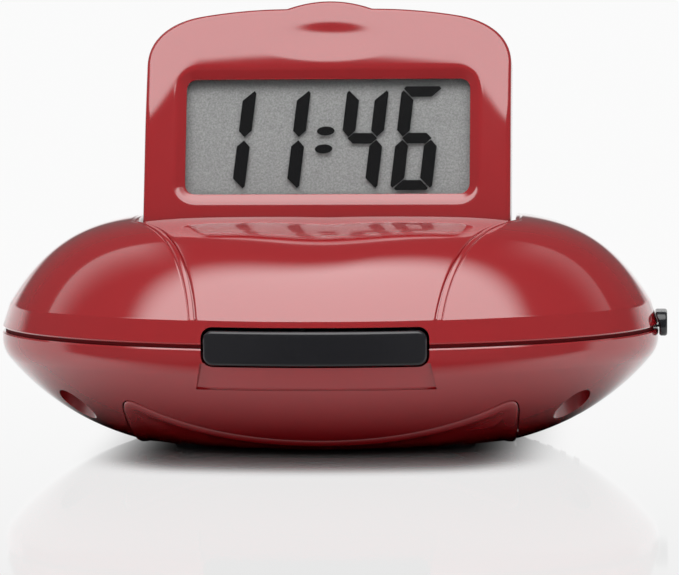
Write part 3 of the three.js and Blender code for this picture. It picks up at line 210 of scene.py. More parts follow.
# Snooze bar
SNOOZE_HALF_WIDTH = 22.6
SNOOZE_LOW = 19.8
SNOOZE_HIGH = 26.8
SNOOZE_GAP = 0.7
SNOOZE_PROUD = 0.4
SNOOZE_DEPTH = 5.6
SNOOZE_TRAVEL = 1.2
SNOOZE_ROOM = 2
SNOOZE_CORNER = 1.9
SNOOZE_ROUND = 0.8
SNOOZE_LEAST_CORNER = 0.2
SNOOZE_STEP = 1.5
SNOOZE_FACE_INSETS = (1.1, 2.0, 3.0)
SNOOZE_MIDDLE_INSET = 3.6
SCOOP_HALF_WIDTH = 23.8
SCOOP_LOW = 14.6
SCOOP_TOP_DEPTH = 1.1
SCOOP_LOW_DEPTH = 0.12
SCOOP_LOW_FLARE = 0.5
SCOOP_TOP_FLARE = -0.6

# Slide knob at the right-hand end
MODE_PROUD = 1.8
MODE_HALF_LENGTH = 5.5
MODE_LOW = 21.6
MODE_HIGH = 26.6
MODE_TRAVEL = 2.5
MODE_END_ROUND = 2.2
MODE_ROUND = 0.5
MODE_GROOVES = 5
MODE_GROOVE_PITCH = 1.7
MODE_GROOVE_RADIUS = 0.35
MODE_GROOVE_LIFT = 0.12
MODE_GROOVE_SIDES = 16
MODE_STEM_ROOT = 0.5
MODE_FIT = 0.12
MODE_STEM_HALF = 1.5
MODE_STEM_HEIGHT = 0.5
MODE_STEM_REACH = 7.8
MODE_SLOT_DEPTH = 8

# Set buttons at the rear
SET_NAMES = ("time", "alarm", "hour", "minute")
SET_PITCH = 12
SET_WIDTH = 7
SET_HEIGHT = 3.6
SET_Z = 18.6
SET_PROUD = 0.7
SET_DEPTH = 4.6
SET_HOLE_DEPTH = 9
SET_HOLE_CORNER = 1.2
SET_CORNER = 1.0
SET_ROUND = 0.3

# Case screws in their wells
SCREW_X = 51
SCREW_Y = 17.8
WELL_RADIUS = 3.8
WELL_FLOOR = 15.41
WELL_WALL = 1.1
SCREW_RADIUS = 1.4
SCREW_HEAD_RADIUS = 2.7
SCREW_HEAD_HEIGHT = 2
BOSS_RADIUS = 4
SCREW_LENGTH = 15
SCREW_HEAD_ROUND = 0.6
SCREW_CROSS = (1.5, 0.32)
SCREW_CROSS_DEPTH = 1

# Battery room, cover and feet
ROOM_HALF_WIDTH = 30
ROOM_HALF_DEPTH = 27.6
ROOM_TOP = 20.05
ROOM_WALL = 1.6
COVER_HALF_FRONT = 40.6
COVER_HALF_REAR = 36.6
COVER_HALF_DEPTH = 30.8
COVER_CORNER = 4
COVER_LEAST_CORNER = 0.5
COVER_STEPS = 16
COVER_THICKNESS = 2.4
COVER_GROOVE = 0.25
COVER_FLOOR = 1.6
COVER_PROUD = 0.6
COVER_PROUD_WIDTH = 3.4
COVER_SHARES = (0, 0.25, 0.45, 0.6, 0.7, 0.8, 0.88, 0.95)
COVER_INSETS = (3.4, 2.9, 2.4, 1.9, 1.5, 1.1)
# Inset and lift of each step round the cover's edge
COVER_ROUNDING = (
    (0.8, 0.0), (0.45, 0.06), (0.2, 0.2), (0.05, 0.4), (0.0, 0.62), (0.05, 0.86), (0.22, 1.08), (0.5, 1.2),
)
COVER_INNER_INSET = 2
COVER_INNER_SHARES = (0.87, 0.6, 0.3, 0)
COVER_TAB_WIDTH = 12
COVER_TAB_HEIGHT = 3
COVER_TAB_THICKNESS = 1.2
FOOT_RADIUS = 4
FOOT_SEAT = 0.8
FOOT_ROUND = 0.25
FOOT_X = 27
FOOT_Y = 15

# Speaker seat and sound slots
SPEAKER_X = 46
SPEAKER_RADIUS = 11
SPEAKER_SEAT_Z = 13
SPEAKER_SEAT_WALL = 1.6
SPEAKER_RIM = 2
SLOT_COUNT = 5
SLOT_PITCH = 2.8
SLOT_WIDTH = 1.2
SLOT_HALF_LENGTH = 6

# Camera, from the photograph's view
IMAGE_WIDTH = 679
IMAGE_HEIGHT = 575
VIEW_TARGET = (0, 0, 40)
VIEW_AZIMUTH = math.radians(4.148)
VIEW_ELEVATION = math.radians(4.918)
VIEW_ROLL = math.radians(-0.508)
VIEW_DISTANCE = 930
VIEW_FOCAL = 4442
VIEW_CENTRE = (328.84, 247.0)
SENSOR = 36
NEAREST = 0.01

# Surface finish
NOISE_DETAIL = 4
COAT_ROUGHNESS = 0.06
COAT_IOR = 1.7
RELIEF_HEIGHT = 0.0002
WINDOW_MIRROR = 0.04
WINDOW_SLANT_POWER = 5
# Painted shadow of the frame's upper edge on the LCD: its colour, its share, and its reach below and above
# the window's top
LCD_PAINTED_SHADOW = (62, 64, 64)
LCD_PAINTED_SHADOW_SHARE = 0.75
LCD_PAINTED_SHADOW_LOW = 3.2
LCD_PAINTED_SHADOW_HIGH = 0.3

# Lamps, in metres and watts; a strip has its name, x, y, end next to the middle and power
LAMP_MIDDLE = 0.5
SOFTBOX_SPOT = (-0.03, -0.565, 1.0)
SOFTBOX_SIZE = (2.79, 1.92)
SOFTBOX_POWER = 45
SOFTBOX_FADE = (0.475, 0.365)
STRIP_SIZE = (1.6, 0.5)
STRIP_Z = 0.97
STRIP_FADE = 0.7
STRIPS = (("left_strip", -1.05, 0.25, 1, 2.1), ("right_strip", 1.05, 0.31, 0, 1.1))

# Table, as ramps from one place to another, in metres, and from one level to another
TABLE_SIZE = 12
TABLE_GLOSS = 0.05
TABLE_STRETCH = (0.64, 1, 1)
# The matt colour darkens near the object as painted contact shadow
TABLE_COLOUR_AND_PAINTED_SHADE = (0.035, 0.075, 0.25, 0.93)
# The table's glow seen in reflections: dimmed near the object as painted contact shadow, dimmer along the
# middle than to the sides, and dimmer in front
TABLE_REFLECTED_PAINTED_SHADOW_NEAR = (0.030, 0.054)
TABLE_MIRRORED_ACROSS = (0.04, 0.09, 0.56, 0.9)
TABLE_MIRRORED_FRONT = (-0.08, -0.045, 0.2, 1.0)
CONTACT_NEAR = (0.042, 0.067, 1.0, 0.0)
CONTACT_ACROSS = (0.026, 0.054, 1.0, 0.0)
CONTACT_MIRROR = (0, 1, 0.2, 0.65)
CONTACT_GLOW = (0, 1, 1.0, 0.0)

# Surroundings, as ramps over the three parts of a direction
BEHIND_Y = (0.8, 0.97)
BEHIND_Z = (0.1, 0.2, 1, 0)
BESIDE_X = (0.3, 0.45)
BESIDE_Y = (0.35, 0.55)
BESIDE_Z = (0.13, 0.22, 1, 0)
STUDIO_MIRRORED = (-0.1, 0.5, 0.17, 0.13)
STUDIO_FILL = 0.36


# Modelling helpers

def alone(piece):
    """Makes a piece the only selected and active object."""
    bpy.ops.object.select_all(action="DESELECT")
    piece.select_set(True)
    bpy.context.view_layer.objects.active = piece


def edit(piece):
    """Opens a piece in edit mode with everything selected."""
    alone(piece)
    bpy.ops.object.mode_set(mode="EDIT")
    bpy.ops.mesh.select_all(action="SELECT")


def close():
    bpy.ops.object.mode_set(mode="OBJECT")


def weld(piece):
    """Merges doubles and turns all faces outwards."""
    edit(piece)
    bpy.ops.mesh.remove_doubles(threshold=DOUBLES * MM)
    bpy.ops.mesh.normals_make_consistent(inside=False)
    close()
    return piece


def fresh(name, add, **settings):
    """A new piece from one of the operators that add a mesh."""
    bpy.ops.object.select_all(action="DESELECT")
    add(**settings)
    piece = bpy.context.object
    piece.name = name
    return piece


def skin(name, rows):
    """A grid laid over rows of points, in millimetres."""
    columns = len(rows[0])
    piece = fresh(name, bpy.ops.mesh.primitive_grid_add, x_subdivisions=columns - 1,
                  y_subdivisions=len(rows) - 1, size=1)
    for index, vertex in enumerate(piece.data.vertices):
        row, column = divmod(index, columns)
        vertex.co = Vector(rows[row][column]) * MM
    return piece


def place(piece):
    """Puts a piece's place into its mesh."""
    alone(piece)
    bpy.ops.object.transform_apply(location=True, rotation=True, scale=True)
    return piece


def block(name, low, high):
    middle = (Vector(low) + Vector(high)) / 2 * MM
    size = (Vector(high) - Vector(low)) * MM
    return place(fresh(name, bpy.ops.mesh.primitive_cube_add, size=1, location=middle, scale=size))


def rod(name, radius, low, high, at, axis="Z", sides=48):
    """A round rod from low to high along an axis; at holds its two other coordinates."""
    turns = {"X": (0, math.pi / 2, 0), "Y": (math.pi / 2, 0, 0), "Z": (0, 0, 0)}
    middle = (low + high) / 2
    spots = {"X": (middle, at[0], at[1]), "Y": (at[0], middle, at[1]), "Z": (at[0], at[1], middle)}
    piece = fresh(name, bpy.ops.mesh.primitive_cylinder_add, vertices=sides, radius=radius * MM,
                  depth=(high - low) * MM, location=Vector(spots[axis]) * MM, rotation=turns[axis])
    return place(piece)


def prism(name, outline, stretch):
    """An outline of points, in millimetres, drawn out along a vector."""
    piece = fresh(name, bpy.ops.mesh.primitive_circle_add, vertices=len(outline), radius=MM,
                  fill_type="NGON")
    for vertex, point in zip(piece.data.vertices, outline):
        vertex.co = Vector(point) * MM
    edit(piece)
    bpy.ops.mesh.extrude_region_move(TRANSFORM_OT_translate={"value": Vector(stretch) * MM})
    bpy.ops.mesh.select_all(action="SELECT")
    bpy.ops.mesh.normals_make_consistent(inside=False)
    close()
    return piece


def modify(piece, kind, **settings):
    """Applies a modifier to a piece."""
    modifier = piece.modifiers.new("step", kind)
    for name, value in settings.items():
        setattr(modifier, name, value)
    alone(piece)
    bpy.ops.object.modifier_apply(modifier=modifier.name)


def combine(piece, tool, operation="DIFFERENCE"):
    """Cuts a piece with a tool, or joins or keeps what they share, and clears the tool away."""
    modify(piece, "BOOLEAN", solver="MANIFOLD", operation=operation, object=tool)
    bpy.data.objects.remove(tool)
    return piece


def joined(name, pieces):
    """Several pieces as one object."""
    bpy.ops.object.select_all(action="DESELECT")
    for piece in pieces:
        piece.select_set(True)
    bpy.context.view_layer.objects.active = pieces[0]
    bpy.ops.object.join()
    pieces[0].name = name
    return pieces[0]


def soften(piece, width, segments=3):
    """Rounds the sharp edges of a piece."""
    modify(piece, "BEVEL", width=width * MM, segments=segments, limit_method="ANGLE",
           angle_limit=ROUND_ANGLE)


def shade(piece, angle=32):
    """Smooth shading that keeps sharp edges."""
    alone(piece)
    bpy.ops.object.shade_smooth_by_angle(angle=math.radians(angle))
    modify(piece, "WEIGHTED_NORMAL", keep_sharp=True, weight=NORMAL_WEIGHT)
    return piece


def uncut(piece):
    """A shaded copy of a shape before it is cut."""
    alone(piece)
    bpy.ops.object.duplicate()
    return shade(bpy.context.object)


def keep_shading(piece, whole):
    """Gives the faces left of an uncut shape that shape's own smooth normals, and clears the shape away."""
    source = whole.data
    near = BVHTree.FromPolygons([vertex.co for vertex in source.vertices],
                                [polygon.vertices[:] for polygon in source.polygons])
    smooth_normals = [corner.vector.copy() for corner in source.corner_normals]
    mesh = piece.data
    normals = [corner.vector.copy() for corner in mesh.corner_normals]
    for face in mesh.polygons:
        spot, normal, index, gap = near.find_nearest(face.center)
        if gap > SAME_SKIN * MM or normal.dot(face.normal) < SAME_TURN:
            continue
        for loop in face.loop_indices:
            corner = mesh.vertices[mesh.loops[loop].vertex_index].co
            spot, normal, index, gap = near.find_nearest(corner.lerp(face.center, CORNER_STEP))
            polygon = source.polygons[index]
            weights = poly_3d_calc([source.vertices[i].co for i in polygon.vertices], spot)
            total = Vector()
            for i, weight in zip(polygon.loop_indices, weights):
                total += smooth_normals[i] * weight
            normals[loop] = total.normalized()
    mesh.normals_split_custom_set(normals)
    bpy.data.objects.remove(whole)


def finish_piece(piece, body, material, slot, *nodes):
    """Gives a piece its material and body, and lets it stand for CAD nodes."""
    piece.data.materials.clear()
    piece.data.materials.append(material)
    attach(piece, body)
    if nodes:
        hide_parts(*nodes)


# Places and outlines

def mix(a, b, share):
    return a + (b - a) * share


def smooth(share):
    share = min(1, max(0, share))
    return share * share * (3 - 2 * share)


def spaced(count, pitch):
    """Places in a row about the middle."""
    return [(i - (count - 1) / 2) * pitch for i in range(count)]


def four(x, y):
    """Four named places around the middle."""
    return {"front_left": (-x, -y), "front_right": (x, -y), "rear_left": (-x, y), "rear_right": (x, y)}


def rounded_outline(half_width, low, high, corner):
    """Points of a rounded rectangle standing in x and z."""
    centres = ((half_width - corner, low + corner, -90), (half_width - corner, high - corner, 0),
               (corner - half_width, high - corner, 90), (corner - half_width, low + corner, 180))
    points = []
    for x, z, start in centres:
        for i in range(ROUND_STEPS + 1):
            turn = math.radians(start + 90 * i / ROUND_STEPS)
            points.append((x + corner * math.cos(turn), z + corner * math.sin(turn)))
    return points


def curve_points(start, first, second, stop, steps):
    """Points of a Bezier curve after its start."""
    points = []
    for i in range(1, steps + 1):
        s = i / steps
        r = 1 - s
        points.append(start * r ** 3 + first * 3 * s * r * r + second * 3 * s * s * r + stop * s ** 3)
    return points


def even(points, count):
    """A line of points, stepped evenly along its length."""
    lengths = [0]
    for a, b in zip(points, points[1:]):
        lengths.append(lengths[-1] + (b - a).length)
    result = []
    j = 0
    for i in range(count + 1):
        want = lengths[-1] * i / count
        while j < len(points) - 2 and lengths[j + 1] < want:
            j += 1
        span = lengths[j + 1] - lengths[j]
        result.append(mix(points[j], points[j + 1], (want - lengths[j]) / span))
    return result


def around(*lines):
    """A closed outline from the lines along its right-hand half, each stepped evenly."""
    half = []
    for line in lines:
        half = half[:-1] + even(line, SIDE_STEPS)
    left = [Vector((-point.x, point.y)) for point in reversed(half[1:-1])]
    return half + left + half[:1]


def stood(outline, depth):
    """An outline stood up in x and z at one depth."""
    return [(p.x, depth, p.y) for p in outline]


def drawn_in(outline, inset):
    """An outline moved inwards along its own normals."""
    points = outline[:-1]
    count = len(points)
    moved = []
    for i, point in enumerate(points):
        along = (points[(i + 1) % count] - points[i - 1]).normalized()
        moved.append(point + Vector((-along.y, along.x)) * inset)
    return moved + moved[:1]


SCREWS = four(SCREW_X, SCREW_Y)
FEET = four(FOOT_X, FOOT_Y)
SET_PLACES = spaced(len(SET_NAMES), SET_PITCH)


# Dome

def dome_height(x, y):
    across = (x / CREASE_HALF_WIDTH) ** 2
    along = (y / CREASE_HALF_DEPTH) ** 2
    squared = across + along
    if squared < 1e-12:
        return CREASE_Z + DOME_RISE
    power = DOME_POWER_FRONT + (DOME_POWER_END - DOME_POWER_FRONT) * across / squared
    return CREASE_Z + DOME_RISE * (1 - squared ** (power / 2))


def on_dome(point, drop):
    """A plan point set on the dome, lowered by drop but not below the crease."""
    return point.x, point.y, max(CREASE_Z, dome_height(point.x, point.y) - drop)


def crease_at(turn):
    return Vector((CREASE_HALF_WIDTH * math.cos(turn), CREASE_HALF_DEPTH * math.sin(turn)))


def crease_turn(point):
    return math.atan2(point.y / CREASE_HALF_DEPTH, point.x / CREASE_HALF_WIDTH)


def inside_crease(point):
    return (point.x / CREASE_HALF_WIDTH) ** 2 + (point.y / CREASE_HALF_DEPTH) ** 2 <= 1


def seam_at(t):
    """Plan point and outward direction on the right-hand wing's edge, from the front, 0, to the rear, 1."""
    start, bend, corner = Vector(SEAM_FRONT), Vector(SEAM_BEND), Vector(SEAM_CORNER)
    last = (corner - bend).normalized()
    straight = Vector((0, 1))
    if abs(t - SEAM_SHARE) < 1e-9:
        along = (last + straight).normalized()
        return corner, Vector((along.y, -along.x)) / along.dot(straight)
    if t < SEAM_SHARE:
        s = t / SEAM_SHARE
        point = start * (1 - s) ** 2 + bend * 2 * s * (1 - s) + corner * s ** 2
        along = mix(bend - start, corner - bend, s).normalized()
    else:
        s = (t - SEAM_SHARE) / (1 - SEAM_SHARE)
        point = Vector((corner.x, mix(corner.y, SEAM_REAR_Y, s)))
        along = straight
    return point, Vector((along.y, -along.x))


def seam_shares():
    """Steps along half of the wing's edge, close together next to the crease."""
    near = [step / SEAM_LENGTH for step in SEAM_END_STEPS]
    rest = [mix(near[-1], 1, i / SEAM_STEPS) for i in range(1, SEAM_STEPS + 1)]
    return [0] + near + rest


def edge_row(offset):
    """Plan points beside the wing's edge, from crease to crease."""
    def at(t):
        point, side = seam_at(t)
        return point + side * offset

    def crossing(inside, outside):
        for _ in range(SEAM_HALVINGS):
            middle = (inside + outside) / 2
            if inside_crease(at(middle)):
                inside = middle
            else:
                outside = middle
        return inside

    first = crossing(SEAM_SHARE / 2, 0)
    last = crossing((1 + SEAM_SHARE) / 2, 1)
    shares = seam_shares()
    front = [at(mix(first, SEAM_SHARE, share)) for share in shares]
    rear = [at(mix(last, SEAM_SHARE, share)) for share in reversed(shares)]
    return front + rear[1:]


def wing_rows():
    """Rows of the right-hand wing: its rounded edge, then out to the crease."""
    rows = []
    for offset, drop in SEAM_PROFILE:
        rows.append([on_dome(point, drop) for point in edge_row(offset)])
    inner = edge_row(SEAM_PROFILE[-1][0])
    count = len(inner) - 1
    front_turn, rear_turn = crease_turn(inner[0]), crease_turn(inner[-1])
    corners = inner[0], inner[-1], crease_at(-WING_TURN), crease_at(WING_TURN)
    for j in range(1, WING_ROWS + 1):
        v = 1 - (1 - j / WING_ROWS) ** WING_ROW_POWER
        front = crease_at(mix(front_turn, -WING_TURN, v))
        rear = crease_at(mix(rear_turn, WING_TURN, v))
        row = []
        for i, point in enumerate(inner):
            w = i / count
            outer = crease_at(mix(-WING_TURN, WING_TURN, w))
            sides = mix(point, outer, v) + mix(front, rear, w)
            blend = mix(mix(corners[0], corners[1], w), mix(corners[2], corners[3], w), v)
            row.append(on_dome(sides - blend, 0))
        rows.append(row)
    return rows


def centre_rows():
    """Rows of the recessed middle section, from the front crease to the rear one."""
    offset, drop = SEAM_PROFILE[0]
    right = edge_row(offset)
    left = [Vector((-point.x, point.y)) for point in right]
    front_turn, rear_turn = crease_turn(right[0]), crease_turn(right[-1])
    rows = []
    for a, b in zip(left, right):
        w = (b.y - right[0].y) / (right[-1].y - right[0].y)
        row = []
        for i in range(CENTRE_COLUMNS + 1):
            s = i / CENTRE_COLUMNS
            front = crease_at(mix(-math.pi - front_turn, front_turn, s))
            rear = crease_at(mix(math.pi - rear_turn, rear_turn, s))
            sides = mix(a, b, s) + mix(front, rear, w)
            blend = mix(mix(left[0], right[0], s), mix(left[-1], right[-1], s), w)
            row.append(on_dome(sides - blend, drop))
        rows.append(row)
    return rows


def drawn_down(z, width, depth):
    """Extrudes the selected rim down to a height and to an oval of these half sizes."""
    bpy.ops.mesh.extrude_edges_move(TRANSFORM_OT_translate={"value": (0, 0, 0)})
    mesh = bpy.context.edit_object
    mesh.update_from_editmode()
    rim = [vertex.co for vertex in mesh.data.vertices if vertex.select]
    wide = max(co.x for co in rim) / MM
    deep = max(co.y for co in rim) / MM
    bpy.ops.transform.resize(value=(width / wide, depth / deep, 1), center_override=(0, 0, 0))
    bpy.ops.transform.translate(value=(0, 0, z * MM - rim[0].z))


def dome_block():
    """The upper half as a solid: wings, middle section, band and a flat underside."""
    wing = wing_rows()
    mirrored = [[(-x, y, z) for x, y, z in row] for row in wing]
    pieces = [skin("wing_right", wing), skin("wing_left", mirrored), skin("middle", centre_rows())]
    piece = weld(joined("upper_case", pieces))
    edit(piece)
    bpy.ops.mesh.select_mode(type="EDGE")
    bpy.ops.mesh.select_all(action="DESELECT")
    bpy.ops.mesh.select_non_manifold(extend=False, use_wire=False, use_boundary=True, use_multi_face=False,
                                     use_non_contiguous=False, use_verts=False)
    slope = BAND_INSET / (CREASE_Z - UPPER_EDGE)
    for drop in (CREASE_ROUND, CREASE_Z - UPPER_EDGE - EDGE_ROUND):
        width = CREASE_HALF_WIDTH + slope * drop
        drawn_down(CREASE_Z - drop, width, width * BODY_HALF_DEPTH / BODY_HALF_WIDTH)
    drawn_down(UPPER_EDGE, BODY_HALF_WIDTH - EDGE_ROUND, BODY_HALF_DEPTH - EDGE_ROUND)
    bpy.ops.mesh.edge_face_add()
    bpy.ops.mesh.select_mode(type="VERT")
    bpy.ops.mesh.select_all(action="SELECT")
    bpy.ops.mesh.normals_make_consistent(inside=False)
    close()
    return piece


def oval_rows(profile, width, depth, sides):
    """Rings of an oval turned shape, from a profile of radius and height."""
    rows = []
    for radius, z in profile:
        ring = []
        for i in range(sides + 1):
            turn = 2 * math.pi * (i % sides) / sides
            ring.append((radius * math.cos(turn), radius * math.sin(turn) * depth / width, z))
        rows.append(ring)
    return rows


def turned(name, profile, inset=0, sides=OVAL_SIDES):
    """An oval solid whose outline is the body's, drawn in by inset."""
    rows = oval_rows(profile, BODY_HALF_WIDTH - inset, BODY_HALF_DEPTH - inset, sides)
    return weld(skin(name, rows))


def oval_plug(name, inset, low, high, sides=OVAL_SIDES):
    radius = BODY_HALF_WIDTH - inset
    return turned(name, [(0, low), (radius, low), (radius, high), (0, high)], inset, sides)


def inner_dome():
    """The room under the dome."""
    width = BODY_HALF_WIDTH - WALL
    depth = BODY_HALF_DEPTH - WALL
    crease_width = width - BAND_INSET
    crease_depth = crease_width * depth / width
    wall = [(0, UPPER_EDGE - PAST), (width, UPPER_EDGE - PAST), (width, UPPER_EDGE)]
    roof = [(crease_width * ring, CREASE_Z - WALL / 2) for ring in DOME_ROOM_RINGS]
    rows = oval_rows(wall + roof, width, depth, ROOM_SIDES)
    for row in rows[len(wall):]:
        for i, (x, y, z) in enumerate(row):
            rise = dome_height(x * CREASE_HALF_WIDTH / crease_width, y * CREASE_HALF_DEPTH / crease_depth)
            row[i] = (x, y, z + (rise - CREASE_Z) * (DOME_RISE - WALL / 2) / DOME_RISE)
    return weld(skin("dome_room", rows))


def pocket(grow):
    """Trough and sloping deck behind the middle section, for the display's foot and fold."""
    slope = LEAN + FOLD - math.pi / 2
    radius = PANEL_BACK + MOVE_FIT + grow
    front = HINGE_Y - PANEL_FRONT / math.cos(LEAN) - MOVE_FIT - grow
    half = PANEL_HALF_WIDTH + PANEL_SIDE_FIT + grow
    first = math.pi + math.acos((HINGE_Y - front) / radius)
    last = 1.5 * math.pi - slope
    outline = [(-half, front + math.tan(LEAN) * (FAR - HINGE_Z), FAR), (-half, front, HINGE_Z)]
    for i in range(TROUGH_STEPS + 1):
        turn = mix(first, last, i / TROUGH_STEPS)
        outline.append((-half, HINGE_Y + radius * math.cos(turn), HINGE_Z + radius * math.sin(turn)))
    low = outline[-1]
    outline.append((-half, low[1] + FAR, low[2] - FAR * math.tan(slope)))
    outline.append((-half, low[1] + FAR, FAR))
    return prism("pocket", outline, (2 * half, 0, 0))


def snooze_opening():
    """Hole for the bar through both halves of the case."""
    rear = -BODY_HALF_DEPTH + SNOOZE_DEPTH + SNOOZE_TRAVEL + SNOOZE_ROOM
    outline = rounded_outline(SNOOZE_HALF_WIDTH + MOVE_FIT, SNOOZE_LOW - MOVE_FIT, SNOOZE_HIGH + SNOOZE_GAP,
                              SNOOZE_CORNER + MOVE_FIT)
    return prism("bar_hole", [(x, -FAR, z) for x, z in outline], (0, FAR + rear, 0))


def mode_slot():
    """Way for the knob's stem through the seal in the parting gap."""
    half = MODE_STEM_HALF + MODE_TRAVEL + MOVE_FIT
    inner = BODY_HALF_WIDTH - MODE_SLOT_DEPTH
    return block("knob_slot", (inner, -half, LOWER_EDGE), (FAR, half, UPPER_EDGE))


def upper_case(red):
    piece = dome_block()
    whole = uncut(piece)
    room = combine(inner_dome(), pocket(WALL))
    for spot in SCREWS.values():
        combine(room, rod("boss", BOSS_RADIUS, 0, FAR, spot))
    combine(piece, room)
    combine(piece, pocket(0))
    top = WELL_FLOOR + SCREW_LENGTH + PAST
    for spot in SCREWS.values():
        combine(piece, rod("screw_hole", SCREW_RADIUS + FIT, 0, top, spot, sides=HOLE_SIDES))
    pin = PANEL_HALF_WIDTH + PANEL_SIDE_FIT + WALL + PAST
    combine(piece, rod("pin_hole", PIN_HOLE_RADIUS, -pin, pin, (HINGE_Y, HINGE_Z), "X", PIN_HOLE_SIDES))
    combine(piece, snooze_opening())
    keep_shading(shade(piece), whole)
    finish_piece(piece, "case", red, "red_plastic", "upper_shell")


def parting_lip(red):
    """Ring inside the parting gap that keeps light and dust out; its darker red is painted shade for the
    gap.
    """
    inset = WALL + FIT
    top = CREASE_Z - LIP_THICKNESS
    piece = oval_plug("parting_lip", inset, LOWER_EDGE - LIP_HEIGHT, top, ROOM_SIDES)
    combine(piece, oval_plug("seal", SEAL_INSET, LOWER_EDGE + SEAL_FIT, UPPER_EDGE - SEAL_FIT), "UNION")
    combine(piece, oval_plug("lip_room", inset + LIP_THICKNESS, 0, FAR, ROOM_SIDES))
    combine(piece, snooze_opening())
    combine(piece, mode_slot())
    for x in SET_PLACES:
        combine(piece, set_hole(x))
    shade(piece)
    finish_piece(piece, "case", red, "red_plastic")


# Bowl, battery cover and feet

def bowl_profile(inset, top):
    """Bowl outline drawn in by inset, as radius and height, from the middle of the bottom to the edge."""
    edge = BOWL_EDGE_RADIUS - inset
    bowl = BOWL_RADIUS - inset
    edge_x = BODY_HALF_WIDTH - BOWL_EDGE_RADIUS
    edge_z = PARTING_Z - BOWL_EDGE_DROP
    reach = BOWL_RADIUS - BOWL_EDGE_RADIUS
    bowl_x = edge_x - reach * math.sin(BOWL_TURN)
    bowl_z = edge_z + reach * math.cos(BOWL_TURN)
    flat_z = FOOT_STAND + inset
    flat_turn = math.acos((bowl_z - flat_z) / bowl)
    points = [(0, flat_z)]
    for i in range(BOWL_STEPS + 1):
        turn = mix(flat_turn, BOWL_TURN, i / BOWL_STEPS)
        points.append((bowl_x + bowl * math.sin(turn), bowl_z - bowl * math.cos(turn)))
    for i in range(1, BOWL_EDGE_STEPS + 1):
        turn = mix(BOWL_TURN, math.pi / 2, i / BOWL_EDGE_STEPS)
        points.append((edge_x + edge * math.sin(turn), edge_z - edge * math.cos(turn)))
    outer = edge_x + edge
    return points + [(outer, top - EDGE_ROUND), (outer - EDGE_ROUND, top), (0, top)]


def bowl(name, inset, top, sides=OVAL_SIDES):
    return turned(name, bowl_profile(inset, top), inset, sides)


def bowl_height(x, y, inset=0):
    """Height of the bowl's skin, drawn in by inset, at a plan point."""
    width = BODY_HALF_WIDTH - inset
    depth = BODY_HALF_DEPTH - inset
    radius = math.hypot(x, y * width / depth)
    profile = bowl_profile(inset, LOWER_EDGE)
    for (r0, z0), (r1, z1) in zip(profile, profile[1:]):
        if r0 <= radius <= r1:
            return mix(z0, z1, (radius - r0) / (r1 - r0)) if r1 > r0 else z0
    return profile[-3][1]


def cover_loop(grow):
    """Plan outline of the battery cover, grown outwards."""
    front = -COVER_HALF_DEPTH - grow
    rear = COVER_HALF_DEPTH + grow
    wide = COVER_HALF_FRONT + grow
    narrow = COVER_HALF_REAR + grow
    corner = max(COVER_LEAST_CORNER, COVER_CORNER + grow)
    slant = (wide - narrow) * corner / (rear - front)
    corners = (
        ((wide - corner, front), (wide, front), (wide - slant, front + corner)),
        ((narrow + slant, rear - corner), (narrow, rear), (narrow - corner, rear)),
        ((-narrow + corner, rear), (-narrow, rear), (-narrow - slant, rear - corner)),
        ((-wide + slant, front + corner), (-wide, front), (-wide + corner, front)),
    )
    steps = COVER_STEPS
    points = []
    for a, b, c in corners:
        a, b, c = Vector(a), Vector(b), Vector(c)
        if points:
            start = points[-1]
            points += [mix(start, a, i / steps) for i in range(1, steps)]
        for i in range(steps + 1):
            s = i / steps
            points.append(a * (1 - s) ** 2 + b * 2 * s * (1 - s) + c * s ** 2)
    start, stop = points[-1], points[0]
    points += [mix(start, stop, i / (2 * steps)) for i in range(1, 2 * steps)]
    return points


def cover_prism(grow, low, high):
    return prism("cover_area", [(p.x, p.y, low) for p in cover_loop(grow)], (0, 0, high - low))


def set_hole(x):
    tall = SET_HEIGHT / 2 + MOVE_FIT
    outline = rounded_outline(SET_WIDTH / 2 + MOVE_FIT, SET_Z - tall, SET_Z + tall, SET_HOLE_CORNER)
    inner = BODY_HALF_DEPTH - SET_HOLE_DEPTH
    return prism("key_hole", [(x + px, inner, pz) for px, pz in outline], (0, FAR, 0))


def scoop():
    """Shallow facet under the bar, with slanting sides."""
    top = SNOOZE_LOW + MOVE_FIT
    top_radius = BODY_HALF_WIDTH - SCOOP_TOP_DEPTH
    low_radius = [radius for radius, z in bowl_profile(0, LOWER_EDGE) if z < SCOOP_LOW][-1] - SCOOP_LOW_DEPTH
    core = turned("scoop_core", [(0, SCOOP_LOW - PAST), (low_radius, SCOOP_LOW - PAST),
                                 (low_radius, SCOOP_LOW), (top_radius, top), (0, top)])
    low_half = SCOOP_HALF_WIDTH + SCOOP_LOW_FLARE
    top_half = SCOOP_HALF_WIDTH + SCOOP_TOP_FLARE
    outline = [(-low_half, SCOOP_LOW), (low_half, SCOOP_LOW), (top_half, top), (-top_half, top)]
    bite = prism("scoop", [(x, -FAR, z) for x, z in outline], (0, FAR, 0))
    return combine(bite, core)


